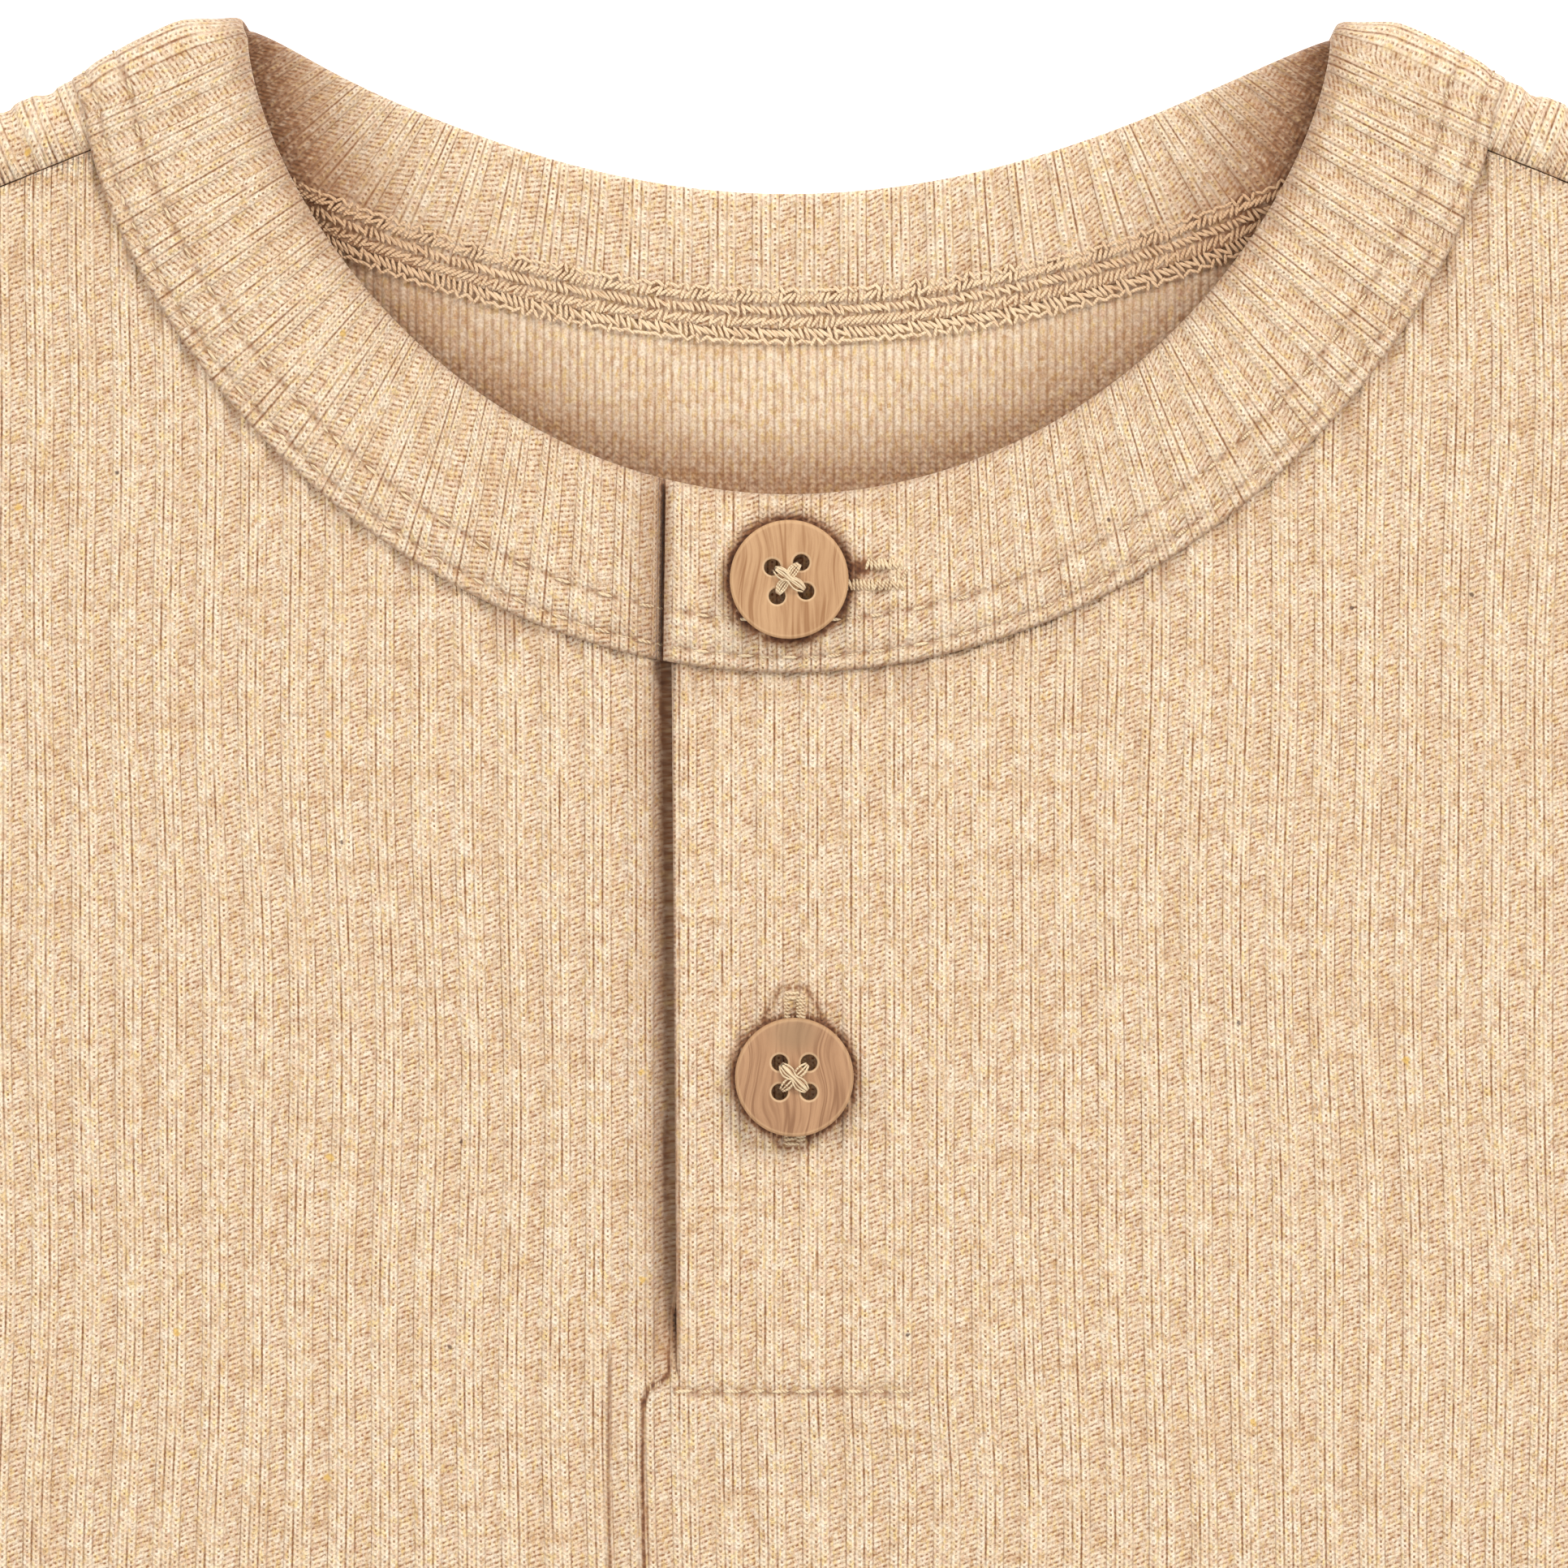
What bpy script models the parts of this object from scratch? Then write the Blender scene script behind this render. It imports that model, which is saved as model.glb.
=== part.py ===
"""A baby's henley romper in rib knit, with short sleeves and short legs, laid flat on its back.

All sizes are in millimetres. x runs to the wearer's left, y towards the neck, and z up from the
surface that the romper lies on. y is measured from the high point of the shoulder, and ORIGIN_Y
then moves it to the middle of the romper's length.

Front, back, sleeves and button stand are cut flat: each is an outline in its own pattern, and a
function says where each point of the pattern lies. The neckband is lofted through its sections.
"""

import math
from collections import namedtuple

import bmesh
import bpy
import numpy as np
from mathutils import Matrix, Vector
from mathutils.geometry import delaunay_2d_cdt, interpolate_bezier

MM = 0.001
ORIGIN_Y = 224.5

# Cloth
CLOTH = 1.3  # one layer of rib knit
BAND_CLOTH = 2.4  # the neckband is folded double
STAND_CLOTH = 1.6
SEAM = 0.3  # sewn pieces lie this far apart
HALF_SEAM = SEAM / 2
RIB_PITCH = 4.17
RIB_RISE = 0.4
FURROW_X = 0.2  # the furrow between two ribs that lies nearest the middle

# Necklines: an edge is at low in the middle and reaches high at its half width
NeckEdge = namedtuple("NeckEdge", "half low high bend")
FRONT_SEAM = NeckEdge(half=68.0, low=-63.2, high=-9.0, bend=1.32)
FRONT_FOLD = NeckEdge(half=52.5, low=-46.2, high=-2.0, bend=1.27)
BACK_SEAM = NeckEdge(half=68.0, low=-29.8, high=-9.0, bend=2.0)
BACK_FOLD = NeckEdge(half=52.5, low=-16.9, high=-2.0, bend=2.4)

# Shoulders: the back is folded over to the front, as far as the shoulder seam
SHOULDER_SLOPE = math.radians(22)
SHOULDER_END_X = 109.5
SHOULDER_LAP = 3.6  # flat part of the back that lies on the front's side
FRONT_NECK_X = 67.55  # where shoulder seam and neck seam meet
FOLD_RADIUS = 2.4
FOLD_LENGTH = math.pi * FOLD_RADIUS

# Body outline, the wearer's left half
UNDERARM = (128.0, -140.0)
ARMHOLE_PULL = 44.0
ARMHOLE_CORNER = (103.0, -121.0)
WAIST_PULL = (123.0, -235.0)
HIP_PULL = (145.0, -345.0)
SIDE_HEM = (131.0, -450.0)
HEM_Y = SIDE_HEM[1]
INSEAM_HEM_X = 14.0
CROTCH_Y = -405.0
HEM_DEPTH = 15.0
HEM_RISE = 0.5

# Sleeves
SLEEVE_LENGTH = 105.0  # along the top fold
SLEEVE_SLOPE = math.radians(30.5)
SLEEVE_HEM_WIDTH = 88.0
SLEEVE_HEM_SLOPE = math.radians(27)

# Placket: the wearer's left front lies over the right one
SLIT_TOP_X = -11.6
SLIT_FOOT_X = -10.9
SLIT_FOOT_Y = -131.0
SLIT_GAP = 0.4
SLIT_LAP = 1.2  # how far the lower edge lies under the upper one
PLACKET_RIGHT_X = 11.0
STAND_FOOT_Y = -134.5
BAND_END_X = -12.2
BAND_UNDER_END_X = 10.0

# Heights of the middle of the cloth
BACK_LEVEL = CLOTH / 2
FRONT_LEVEL = 3.9
FOLDED_LEVEL = BACK_LEVEL + 2 * FOLD_RADIUS
SHOULDER_RISE = 55.0  # how far from the shoulder the front starts to rise to it
EDGE_LEVEL = CLOTH + SEAM + CLOTH / 2  # the front at the side seam, on the back
EDGE_ROLL = 7.0
PLACKET_LEVEL = 5.0
PLACKET_FADE = 20.0
UNDER_LEVEL = 2.3  # the right front's edge under the placket
UNDER_ROLL = 7.0
STAND_LEVEL = CLOTH + SEAM + STAND_CLOTH / 2
BAND_LIFT = (BAND_CLOTH - CLOTH) / 2
BAND_UNDER_LEVEL = CLOTH + SEAM + BAND_CLOTH / 2
BAND_CROWN = 0.4

# Fittings
BUTTON_RADIUS = 5.75
BUTTON_HEIGHT = 2.2
BUTTON_BEVEL = 0.4
BUTTON_HOLE_RADIUS = 0.8
BUTTON_HOLE_SPREAD = 1.42  # from the button's middle to a hole's, along x and y
Button = namedtuple("Button", "name x y turn")
BUTTONS = (
    Button("button_top", x=0.0, y=-54.5, turn=9.3),
    Button("button_lower", x=0.5, y=-102.7, turn=0.0),
)
SNAP_RADIUS = 4.4
SNAP_HEIGHT = 1.4
Snap = namedtuple("Snap", "name x y")
SNAPS = (
    Snap("snap_crotch", x=0.0, y=-397.0),
    Snap("snap_left_1", x=15.2, y=-417.5),
    Snap("snap_left_2", x=20.5, y=-441.5),
    Snap("snap_right_1", x=-15.2, y=-417.5),
    Snap("snap_right_2", x=-20.5, y=-441.5),
)

# Soft folds of the front: from one end to the other, with a half width and a height
SoftFold = namedtuple("SoftFold", "x0 y0 x1 y1 width height")
FOLDS = (
    SoftFold(x0=-15.9, y0=-133.0, x1=-16.5, y1=-192.0, width=2.2, height=0.9),
    SoftFold(x0=120.0, y0=-148.0, x1=62.0, y1=-190.0, width=11.0, height=1.0),
    SoftFold(x0=-119.0, y0=-152.0, x1=-74.0, y1=-178.0, width=9.0, height=0.8),
    SoftFold(x0=122.0, y0=-236.0, x1=52.0, y1=-252.0, width=12.0, height=0.9),
    SoftFold(x0=-124.0, y0=-262.0, x1=-38.0, y1=-244.0, width=13.0, height=1.1),
    SoftFold(x0=12.0, y0=-388.0, x1=72.0, y1=-346.0, width=11.0, height=1.0),
    SoftFold(x0=-14.0, y0=-384.0, x1=-58.0, y1=-338.0, width=12.0, height=0.9),
)

# Rows of points across the cloth
FRONT_ROWS = (-32, -46, -62, -80, -97, -114, -128, -139, -152, -166, -184, -206, -230, -254,
              -280, -310, -340, -362, -384, -402, -418, HEM_Y + HEM_DEPTH + 1, HEM_Y + HEM_DEPTH)  # fmt: skip
BACK_ROWS = tuple(range(-60, int(HEM_Y), -60))
TURN_ROWS = tuple(FOLD_LENGTH * k / 6 for k in range(7))
SLEEVE_ROWS = (-20, -5, 12, 30, 50, 70, 84)
INSIDE_MARGIN = 1.2
MERGE = 0.02

Finish = namedtuple("Finish", "colour roughness metallic")
FINISHES = {
    "rib_knit": Finish((0.80, 0.585, 0.375, 1.0), roughness=0.9, metallic=0.0),
    "wood": Finish((0.55, 0.31, 0.165, 1.0), roughness=0.5, metallic=0.0),
    "snap_metal": Finish((0.62, 0.50, 0.36, 1.0), roughness=0.35, metallic=0.9),
}


# Small helpers


def smooth(t):
    """0 below 0, 1 above 1, and an even S between."""
    t = min(max(t, 0.0), 1.0)
    return t * t * (3 - 2 * t)


def mix(a, b, t):
    """The value between a and b at t."""
    return a + (b - a) * t


def distance_to(line, x, y):
    """How far a point is from a line of points."""
    nearest = math.inf
    for (ax, ay), (bx, by) in zip(line, line[1:]):
        dx, dy = bx - ax, by - ay
        t = ((x - ax) * dx + (y - ay) * dy) / (dx * dx + dy * dy)
        t = min(max(t, 0.0), 1.0)
        nearest = min(nearest, math.hypot(x - ax - t * dx, y - ay - t * dy))
    return nearest


def is_within(outline, x, y):
    """Whether a point lies inside a closed outline."""
    crossings = 0
    for (ax, ay), (bx, by) in zip(outline, outline[1:] + outline[:1]):
        if (ay > y) != (by > y) and x < ax + (y - ay) * (bx - ax) / (by - ay):
            crossings += 1
    return crossings % 2 == 1


def moved_out(line, out):
    """A line of points moved sideways, to the right of its direction."""
    moved = []
    for k, (x, y) in enumerate(line):
        ax, ay = line[max(k - 1, 0)]
        bx, by = line[min(k + 1, len(line) - 1)]
        length = math.hypot(bx - ax, by - ay)
        moved.append((x + (by - ay) / length * out, y - (bx - ax) / length * out))
    return moved


def mirrored(line):
    """The same line on the other side of the middle, in the opposite order."""
    return [(-x, y) for x, y in reversed(line)]


def rib(across):
    """How far the outside stands out at a place across the ribs."""
    phase = (across - FURROW_X) / RIB_PITCH % 1.0
    return RIB_RISE * (1 - abs(2 * phase - 1))


def rib_places(low, high, every=1):
    """The places of furrows and ribs between low and high, or of each second, third and so on."""
    step = RIB_PITCH / 2 * every
    first = math.ceil((low - FURROW_X) / step)
    last = math.floor((high - FURROW_X) / step)
    return [FURROW_X + step * k for k in range(first, last + 1)]


# The outline


def neck_point(edge, angle):
    """A point of a neckline edge: the angle is 0 in the middle and a right angle at the shoulder."""
    drop = (edge.high - edge.low) * max(math.cos(angle), 0.0) ** edge.bend
    return edge.half * math.sin(angle), edge.high - drop


def neck_angle(edge, x):
    """The angle at which a neckline edge is at x."""
    return math.asin(min(max(x / edge.half, -1.0), 1.0))


def neck_line(edge, x0, x1, count):
    """Points along a neckline edge from x0 to x1."""
    start, end = neck_angle(edge, x0), neck_angle(edge, x1)
    return [neck_point(edge, mix(start, end, k / count)) for k in range(count + 1)]


def inseam_point(t):
    """A point of the inseam edge: t is 0 at the crotch and 1 at the left leg's hem."""
    return INSEAM_HEM_X * t, CROTCH_Y + (HEM_Y - CROTCH_Y) * t * t


def fold_y(x):
    """Where the shoulder's fold starts, at x."""
    return BACK_SEAM.high - (abs(x) - BACK_SEAM.half) * math.tan(SHOULDER_SLOPE)


FOLD_NORMAL = (math.sin(SHOULDER_SLOPE), math.cos(SHOULDER_SLOPE))
NECK_POINT = (BACK_SEAM.half, BACK_SEAM.high)
SHOULDER_POINT = (SHOULDER_END_X, fold_y(SHOULDER_END_X))
SLEEVE_ALONG = Vector((math.cos(SLEEVE_SLOPE), -math.sin(SLEEVE_SLOPE)))
SLEEVE_ACROSS = Vector((-math.sin(SLEEVE_SLOPE), -math.cos(SLEEVE_SLOPE)))
SLEEVE_HEM_TOP = Vector(SHOULDER_POINT) + SLEEVE_ALONG * SLEEVE_LENGTH
SLEEVE_HEM_FOOT = SLEEVE_HEM_TOP - SLEEVE_HEM_WIDTH * Vector(
    (math.sin(SLEEVE_HEM_SLOPE), math.cos(SLEEVE_HEM_SLOPE))
)
TOP_LINE = (NECK_POINT, SHOULDER_POINT, tuple(SLEEVE_HEM_TOP))
BODY_SIDE = [
    tuple(p)
    for p in interpolate_bezier(
        Vector(SIDE_HEM), Vector(HIP_PULL), Vector(WAIST_PULL), Vector(UNDERARM), 11
    )
]
SIDE_LINE = (*BODY_SIDE, tuple(SLEEVE_HEM_FOOT))
INSEAM_LINE = tuple(inseam_point(k / 6) for k in range(7))


def armhole_line(out, count=12):
    """The left armhole from the underarm to the shoulder's fold, moved out from the body."""
    top = Vector(SHOULDER_POINT)
    pull = top - ARMHOLE_PULL * Vector(FOLD_NORMAL)
    line = interpolate_bezier(Vector(UNDERARM), Vector(ARMHOLE_CORNER), pull, top, count)
    return moved_out([tuple(p) for p in line], out)


def leg_line():
    """The left half of the outline from the crotch round the leg and almost to the underarm."""
    return list(INSEAM_LINE) + BODY_SIDE[:-1]


# Where the front and the upper sides of the sleeves lie


def slit_x(y):
    """The line of the slit, which leans a little."""
    return mix(SLIT_TOP_X, SLIT_FOOT_X, (y - FRONT_SEAM.low) / (SLIT_FOOT_Y - FRONT_SEAM.low))


def under_share(x, y):
    """How much the right front has gone under: 1 at the slit, 0 away from it."""
    if x > slit_x(y):
        return 0.0
    return smooth((y - SLIT_FOOT_Y) / 7.0) * smooth(1 - (slit_x(y) - x) / UNDER_ROLL)


def placket_share(x, y):
    """1 over the placket, falling to 0 round it."""
    if x > slit_x(y):
        across = 1 - smooth((x - PLACKET_RIGHT_X) / PLACKET_FADE)
    else:
        across = 1 - smooth((slit_x(y) - x) / PLACKET_FADE)
    return across * smooth((y - SLIT_FOOT_Y + 14) / 14)


def edge_share(x, y):
    """0 at the side seam, the sleeve's seam and the inseam, 1 away from them."""
    away = min(distance_to(SIDE_LINE, abs(x), y), distance_to(INSEAM_LINE, abs(x), y))
    near = 1 - min(away / EDGE_ROLL, 1.0)
    return 1 - near * near


def fold_height(x, y):
    """How far the soft folds lift the cloth."""
    height = 0.0
    for fold in FOLDS:
        away = distance_to(((fold.x0, fold.y0), (fold.x1, fold.y1)), x, y)
        height += fold.height * math.exp(-((away / fold.width) ** 2))
    return height


def front_level(x, y):
    """Height of the middle of the front's cloth, or of a sleeve's upper side."""
    rise = 1 - smooth(distance_to(TOP_LINE, abs(x), y) / SHOULDER_RISE)
    level = mix(FRONT_LEVEL, FOLDED_LEVEL, rise) + fold_height(x, y)
    level = mix(level, PLACKET_LEVEL, placket_share(x, y))
    level = mix(level, UNDER_LEVEL, under_share(x, y))
    return mix(EDGE_LEVEL, level, edge_share(x, y))


def front_top(x, y, radius):
    """The highest the front reaches within a radius, ribs and all."""
    ring = [(x, y)]
    for k in range(16):
        turn = math.tau * k / 16
        ring.append((x + radius * math.cos(turn), y + radius * math.sin(turn)))
    return max(front_level(*p) for p in ring) + CLOTH / 2 + RIB_RISE


# Solids


def finished(name, bm, finish):
    """Make an object of a mesh in millimetres, with its material. Cloth shows its facets as ribs."""
    bmesh.ops.recalc_face_normals(bm, faces=bm.faces)
    move = Matrix.Scale(MM, 4) @ Matrix.Translation((0, ORIGIN_Y, 0))
    bmesh.ops.transform(bm, matrix=move, verts=bm.verts)
    mesh = bpy.data.meshes.new(name)
    bm.to_mesh(mesh)
    bm.free()
    material = bpy.data.materials.new(name)
    material.use_nodes = True
    shader = material.node_tree.nodes["Principled BSDF"]
    shader.inputs["Base Color"].default_value = FINISHES[finish].colour
    shader.inputs["Roughness"].default_value = FINISHES[finish].roughness
    shader.inputs["Metallic"].default_value = FINISHES[finish].metallic
    mesh.materials.append(material)
    if finish != "rib_knit":
        mesh.shade_smooth()
        mesh.set_sharp_from_angle(angle=math.radians(35))
    obj = bpy.data.objects.new(name, mesh)
    bpy.context.scene.collection.objects.link(obj)
    return obj


def fill(outline, lines):
    """Fill an outline with triangles whose points are on some lines and where these cross."""
    points = [Vector(p) for p in outline]
    sides = []
    for line in lines:
        first = len(points)
        points += [Vector(p) for p in line]
        sides += [(k, k + 1) for k in range(first, len(points) - 1)]
    found = delaunay_2d_cdt(points, sides, [list(range(len(outline)))], 0, MERGE)
    triangles = [tuple(face) for face, source in zip(found[2], found[5]) if source]
    return [tuple(p) for p in found[0]], triangles


def rim_of(triangles):
    """The points round the edge of some triangles, in order."""
    sides = {side for a, b, c in triangles for side in ((a, b), (b, c), (c, a))}
    following = dict(side for side in sides if side[::-1] not in sides)
    rim = [min(following)]
    while following[rim[-1]] != rim[0]:
        rim.append(following[rim[-1]])
    return rim


def sheet(name, outline, lines, spots, place):
    """A wall of cloth: lines shape its outside, a few spots its plain inside.

    place gives a point of the wall from its place in the pattern and its side, 1 or -1.
    """
    points, triangles = fill(outline, lines)
    rim = rim_of(triangles)
    edge = [points[k] for k in rim]
    inner = [
        p for p in spots if is_within(edge, *p) and distance_to(edge + edge[:1], *p) > INSIDE_MARGIN
    ]
    inner_points, inner_triangles = fill(edge, [[p] for p in inner])
    bm = bmesh.new()
    used = sorted({k for triangle in triangles for k in triangle})
    outside = {k: bm.verts.new(place(*points[k], 1)) for k in used}
    inside = [bm.verts.new(place(*p, -1)) for p in inner_points]
    for triangle in triangles:
        bm.faces.new([outside[k] for k in triangle])
    for triangle in inner_triangles:
        bm.faces.new([inside[k] for k in reversed(triangle)])
    count = len(rim)
    for k in range(count):
        after = (k + 1) % count
        bm.faces.new((outside[rim[k]], inside[k], inside[after]))
        bm.faces.new((outside[rim[k]], inside[after], outside[rim[after]]))
    return finished(name, bm, "rib_knit")


def grid(columns, rows):
    """The places where columns and rows cross."""
    return [(x, y) for x in columns for y in rows]


def folded(foot, normal, beyond, out):
    """A point of cloth that turns over a fold.

    foot is on the line where the fold starts, normal points away from the cloth there, beyond is
    how far past the line the point is, and out how far outside the middle of the cloth.
    """
    angle = min(beyond / FOLD_RADIUS, math.pi)
    away = (FOLD_RADIUS + out) * math.sin(angle) - max(beyond - FOLD_LENGTH, 0.0)
    z = BACK_LEVEL + FOLD_RADIUS - (FOLD_RADIUS + out) * math.cos(angle)
    return foot[0] + normal[0] * away, foot[1] + normal[1] * away, z


# Front


def front_place(x, y, side):
    """Where a point of the front lies."""
    share = under_share(x, y)
    z = front_level(x, y) + side * CLOTH / 2
    if side > 0:
        z += rib(x) * (1 - share)
        z += HEM_RISE * smooth(HEM_Y + HEM_DEPTH + 1 - y)
    return x + SLIT_LAP * smooth((share - 0.75) / 0.25), y, z


def front_panel():
    """The front with the fronts of both legs, slit for the placket."""
    seam_away = SHOULDER_LAP + SEAM

    def is_below_seam(point):
        return (fold_y(point[0]) - point[1]) * FOLD_NORMAL[1] > seam_away + 0.3

    end = Vector(SHOULDER_POINT) - Vector(FOLD_NORMAL) * seam_away
    neck_y = fold_y(FRONT_NECK_X) - seam_away / FOLD_NORMAL[1]
    armhole = [p for p in armhole_line(-HALF_SEAM, count=16) if is_below_seam(p)]
    half = leg_line() + armhole + [(end.x - HALF_SEAM, end.y), (FRONT_NECK_X, neck_y)]
    slit_y = FRONT_SEAM.low - 0.5
    upper = (slit_x(slit_y) + SLIT_GAP / 2, slit_y)
    lower = (slit_x(slit_y) - SLIT_GAP / 2, slit_y)
    left_neck = moved_out(neck_line(FRONT_SEAM, FRONT_NECK_X, upper[0], 26), -HALF_SEAM)
    right_neck = moved_out(neck_line(FRONT_SEAM, lower[0], -FRONT_NECK_X, 24), -HALF_SEAM)
    left_neck = [p for p in left_neck if is_below_seam(p)]
    right_neck = [p for p in right_neck if is_below_seam(p)]
    foot = (SLIT_FOOT_X, SLIT_FOOT_Y)
    steps = [k / 6 for k in range(1, 6)]
    down = [(mix(upper[0], foot[0], t), mix(upper[1], foot[1], t)) for t in steps]
    up = [(mix(foot[0], lower[0], t), mix(foot[1], lower[1], t)) for t in steps]
    slit = down + [foot] + up
    outline = half + left_neck + slit + right_neck + mirrored(half)[:-1]
    ribs = [[(x, 0), (x, HEM_Y - 5)] for x in rib_places(-140, 140)]
    rows = [[(-145, y), (145, y)] for y in FRONT_ROWS]
    columns = rib_places(-140, 140, every=4)
    for edge in (-130, SLIT_TOP_X, 130):
        columns += rib_places(edge - 12, edge + 12)
    return sheet("front_panel", outline, ribs + rows, grid(sorted(set(columns)), FRONT_ROWS), front_place)


# Back


def back_place(x, y, side):
    """Where a point of the back lies. Past the fold's line, y counts along the cloth."""
    beyond = y - fold_y(x)
    if beyond <= 0 or abs(x) < BACK_SEAM.half:
        return x, y, BACK_LEVEL - side * CLOTH / 2
    out = side * CLOTH / 2
    if side > 0:
        out += rib(x) * smooth(beyond / FOLD_LENGTH * 2)
    left = math.copysign(1, x)
    normal = (left * FOLD_NORMAL[0], FOLD_NORMAL[1])
    return folded((x, fold_y(x)), normal, beyond, out)


def back_panel():
    """The back with the backs of both legs. It goes over the shoulders to their seams."""
    end = FOLD_LENGTH + SHOULDER_LAP
    end_x = SHOULDER_END_X - HALF_SEAM
    neck_x = BACK_SEAM.half + HALF_SEAM
    seam_x = neck_x + 0.85  # so that the lapped corner lies on the front neckline
    shoulder = [(end_x, fold_y(end_x) + beyond) for beyond in (*TURN_ROWS, end)]
    shoulder.append((seam_x, fold_y(seam_x) + end))
    shoulder += [(neck_x, fold_y(neck_x) + beyond) for beyond in reversed(TURN_ROWS)]
    half = leg_line() + armhole_line(-HALF_SEAM)[:-1] + shoulder
    neck = moved_out(neck_line(BACK_SEAM, neck_x, -neck_x, 28), -HALF_SEAM)[1:-1]
    outline = half + neck + mirrored(half)[:-1]
    lines = []
    for left in (-1, 1):
        places = rib_places(neck_x, end_x) if left > 0 else rib_places(-end_x, -neck_x)
        for x in places:
            lines.append([(x, fold_y(x)), (x, fold_y(x) + end + 5)])
        for beyond in TURN_ROWS:
            lines.append([(left * x, fold_y(x) + beyond) for x in (neck_x - 3, end_x + 3)])
    inside_columns = [left * x for left in (-1, 1) for x in (74, 84, 94, 103)]
    spots = [(x, fold_y(x) + beyond) for x in inside_columns for beyond in TURN_ROWS]
    spots += grid(range(-120, 121, 40), BACK_ROWS)
    return sheet("back_panel", outline, lines, spots, back_place)


# Sleeves, in a pattern with x along the sleeve and y across its upper side from the top fold


def sleeve_pattern(point):
    """The pattern place of a point of the upper side."""
    away = Vector(point) - Vector(SHOULDER_POINT)
    return away.dot(SLEEVE_ALONG), away.dot(SLEEVE_ACROSS)


def sleeve_under(line):
    """The same line on the lower side, in the opposite order."""
    return [(x, -FOLD_LENGTH - y) for x, y in reversed(line)]


def sleeve_place(x, y, side):
    """Where a point of the left sleeve lies."""
    if y < -FOLD_LENGTH:
        point = Vector(SHOULDER_POINT) + SLEEVE_ALONG * x - SLEEVE_ACROSS * (y + FOLD_LENGTH)
        return point.x, point.y, BACK_LEVEL - side * CLOTH / 2
    outside = 0.0
    if side > 0:
        outside = rib(y) * smooth((y / FOLD_LENGTH + 1) * 2)
        outside += HEM_RISE * smooth(x - SLEEVE_LENGTH + HEM_DEPTH + 1) * smooth(y / FOLD_LENGTH + 1)
    foot = Vector(SHOULDER_POINT) + SLEEVE_ALONG * x
    if y < 0:
        return folded(foot, -SLEEVE_ACROSS, y + FOLD_LENGTH, side * CLOTH / 2 + outside)
    point = foot + SLEEVE_ACROSS * y
    return point.x, point.y, front_level(*point) + side * CLOTH / 2 + outside


def sleeve(name, left):
    """A sleeve, folded at the top, with its edges together under the arm."""
    armhole = [sleeve_pattern(p) for p in armhole_line(HALF_SEAM)]
    hem = [sleeve_pattern(p) for p in (SLEEVE_HEM_FOOT, SLEEVE_HEM_TOP)]
    turn = [-FOLD_LENGTH + beyond for beyond in TURN_ROWS[1:-1]]
    armhole_turn = [(armhole[-1][0], y) for y in reversed(turn)]
    hem_turn = [(SLEEVE_LENGTH, y) for y in turn]
    upper = armhole + armhole_turn
    outline = upper + sleeve_under(armhole) + sleeve_under(hem) + hem_turn + hem[::-1]
    rows = SLEEVE_ROWS + (SLEEVE_LENGTH - HEM_DEPTH - 1, SLEEVE_LENGTH - HEM_DEPTH)
    lines = [[(-60, y), (140, y)] for y in rib_places(-FOLD_LENGTH, 130)]
    lines += [[(x, -FOLD_LENGTH), (x, 140)] for x in rows]
    lines.append([(-60, -FOLD_LENGTH), (140, -FOLD_LENGTH)])
    spots = grid(rows, [*rib_places(4, 125, every=3), *turn, 0.0, -FOLD_LENGTH])
    spots += grid(rows[::2], (-30, -60, -90))

    def place(x, y, side):
        px, py, pz = sleeve_place(x, y, side)
        return left * px, py, pz

    return sheet(name, outline, lines, spots, place)


# Neckband


Station = namedtuple("Station", "seam fold normal angle lift under")


def fold_angle(seam_angle):
    """The angle on the folded edge that is across from an angle on the seam.

    Near the middle the ribs stand upright, and at the sides they fan out.
    """
    spread = FRONT_SEAM.half / FRONT_FOLD.half - 1
    part = math.sin(seam_angle) * (1 + spread * (1 - smooth(abs(seam_angle))))
    return math.asin(min(max(part, -1.0), 1.0))


def band_front(angle, under=False):
    """A station of the band on the front, over or under the other end."""
    seam = neck_point(FRONT_SEAM, angle)
    fold = neck_point(FRONT_FOLD, fold_angle(angle))
    x, y = seam
    if under:
        share = 1.0 if x > slit_x(y) else under_share(x, y)
        level = front_level(min(x, slit_x(y) - UNDER_ROLL), y) + BAND_LIFT
        lift = mix(level, BAND_UNDER_LEVEL, share)
    else:
        share = 0.0
        lift = front_level(max(x, slit_x(y) + 0.1) if abs(x) < 20 else x, y) + BAND_LIFT
    return Station(seam, fold, (0.0, 1.0), math.pi, lift, share)


def band_back(angle):
    """A station of the band on the back."""
    fold = neck_point(BACK_FOLD, fold_angle(angle))
    return Station(neck_point(BACK_SEAM, angle), fold, (0.0, 1.0), 0.0, BAND_CLOTH / 2, 0.0)


def band_turn(left, angle):
    """A station of the band where it turns over the shoulder: the angle is 0 at the back."""
    seam = (left * BACK_SEAM.half, BACK_SEAM.high)
    fold = (left * BACK_FOLD.half, BACK_FOLD.high)
    across = Vector(seam) - Vector(fold)
    normal = Vector((-left * across.y, left * across.x)).normalized()
    lift = BAND_CLOTH / 2 + FOLD_RADIUS * (1 - math.cos(angle))
    return Station(seam, fold, tuple(normal), angle, lift, 0.0)


def station_point(station, across, out):
    """A point of a station: across is 0 at the seam and 1 at the folded edge."""
    x = mix(station.seam[0], station.fold[0], across)
    y = mix(station.seam[1], station.fold[1], across)
    turned = math.sin(station.angle)
    away = (FOLD_RADIUS + out) * turned
    z = station.lift - out * math.cos(station.angle)
    return Vector((x + station.normal[0] * away, y + station.normal[1] * away, z))


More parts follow.
